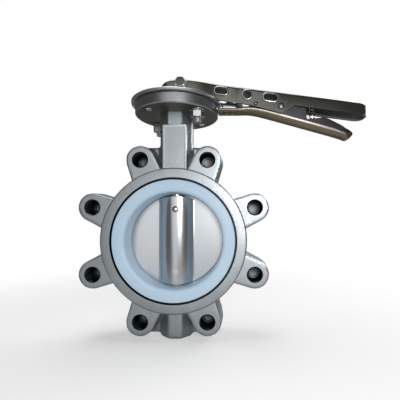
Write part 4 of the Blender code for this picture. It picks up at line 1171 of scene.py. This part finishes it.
coil.data.bevel_depth = WIRE_R
coil.data.bevel_resolution = 3
coil.data.use_fill_caps = True
bpy.ops.object.convert(target="MESH")
coil = bpy.context.object
dressed(coated(coil, ground_steel), "lever_and_disc", "bright_fastener", "trigger_spring")
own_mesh(coil)
peg_low, peg_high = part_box("spring_peg")
peg_profile = [(0, peg_low.z), (PEG_R, peg_low.z), (PEG_R, peg_high.z - 0.0004)]
peg_profile += [(0.0004, peg_high.z), (0, peg_high.z)]
peg = turned("spring_peg_turned", peg_profile, "Z", 32, (SPRING_X - PEG_OFF, 0, 0))
dressed(coated(peg, ground_steel), "trigger_latch", "bright_fastener", "spring_peg")


# Stage: a pale round floor that fades out into a white surround, soft light from the front and from
# above, and the camera where the photograph was taken, low in front of the valve and to the right
# of its middle.
floor = new_piece(
    "floor",
    bpy.ops.mesh.primitive_circle_add,
    vertices=96,
    radius=0.6,
    fill_type="NGON",
    location=(0, 0, BOSS_Z - 0.0006),
)
pale = bpy.data.materials.new("pale floor")
pale.use_nodes = True
shader = pale.node_tree.nodes["Principled BSDF"]
shader.inputs["Base Color"].default_value = linear("#f4f4f3")
shader.inputs["Roughness"].default_value = 0.9
place = add_node(pale, "ShaderNodeTexCoord", {}).outputs["Object"]
reach = add_node(pale, "ShaderNodeVectorMath", {0: place}, operation="LENGTH").outputs["Value"]
fading = {"Value": reach, "From Min": 0.20, "From Max": 0.56, "To Min": 0.55, "To Max": 0.0}
fade = add_node(pale, "ShaderNodeMapRange", fading, interpolation_type="SMOOTHSTEP")
pale.node_tree.links.new(fade.outputs["Result"], shader.inputs["Alpha"])
coated(floor, pale)

# The surround is white to the camera. To the valve it is dim, with one soft bright window in front.
world = bpy.data.worlds.new("studio")
world.use_nodes = True
bpy.context.scene.world = world
backdrop = world.node_tree.nodes["Background"]
aim = add_node(world, "ShaderNodeTexCoord", {}).outputs["Generated"]
axis = {0: aim, 1: (-0.19, -0.967, 0.17)}
toward = add_node(world, "ShaderNodeVectorMath", axis, operation="DOT_PRODUCT").outputs["Value"]
opening = {"Value": toward, "From Min": 0.88, "From Max": 0.975, "To Min": 0.10, "To Max": 1.05}
window = add_node(world, "ShaderNodeMapRange", opening, interpolation_type="SMOOTHSTEP")
seen = add_node(world, "ShaderNodeLightPath", {}).outputs["Is Camera Ray"]
mix = {"Factor": seen, "A": window.outputs["Result"], "B": 1.0}
power = add_node(world, "ShaderNodeMix", mix, data_type="FLOAT")
backdrop.inputs["Color"].default_value = (1, 1, 1, 1)
world.node_tree.links.new(power.outputs["Result"], backdrop.inputs["Strength"])

for name, spot, size, watts in (
    ("key", (0.20, -0.62, 0.13), 0.18, 1.8),
    ("top", (-0.1, 0.1, 1.3), 0.9, 10.5),
    ("side", (0.75, 0.55, 0.5), 0.5, 5),
):
    bpy.ops.object.light_add(type="AREA", location=spot)
    lamp = bpy.context.object
    lamp.name = name
    lamp.data.size = size
    lamp.data.energy = watts
    ray = Vector((0, 0, 0.05)) - Vector(spot)
    lamp.rotation_euler = ray.to_track_quat("-Z", "Y").to_euler()

bpy.ops.object.camera_add(location=(0.0545, -0.3306, 0.0212), rotation=ALONG_Y)
camera = bpy.context.object
camera.data.lens = 27.03
camera.data.sensor_width = 36.0
camera.data.shift_x = -0.0673
camera.data.shift_y = 0.051
camera.data.clip_start = 0.01
bpy.context.scene.camera = camera
bpy.context.scene.view_settings.view_transform = "Standard"
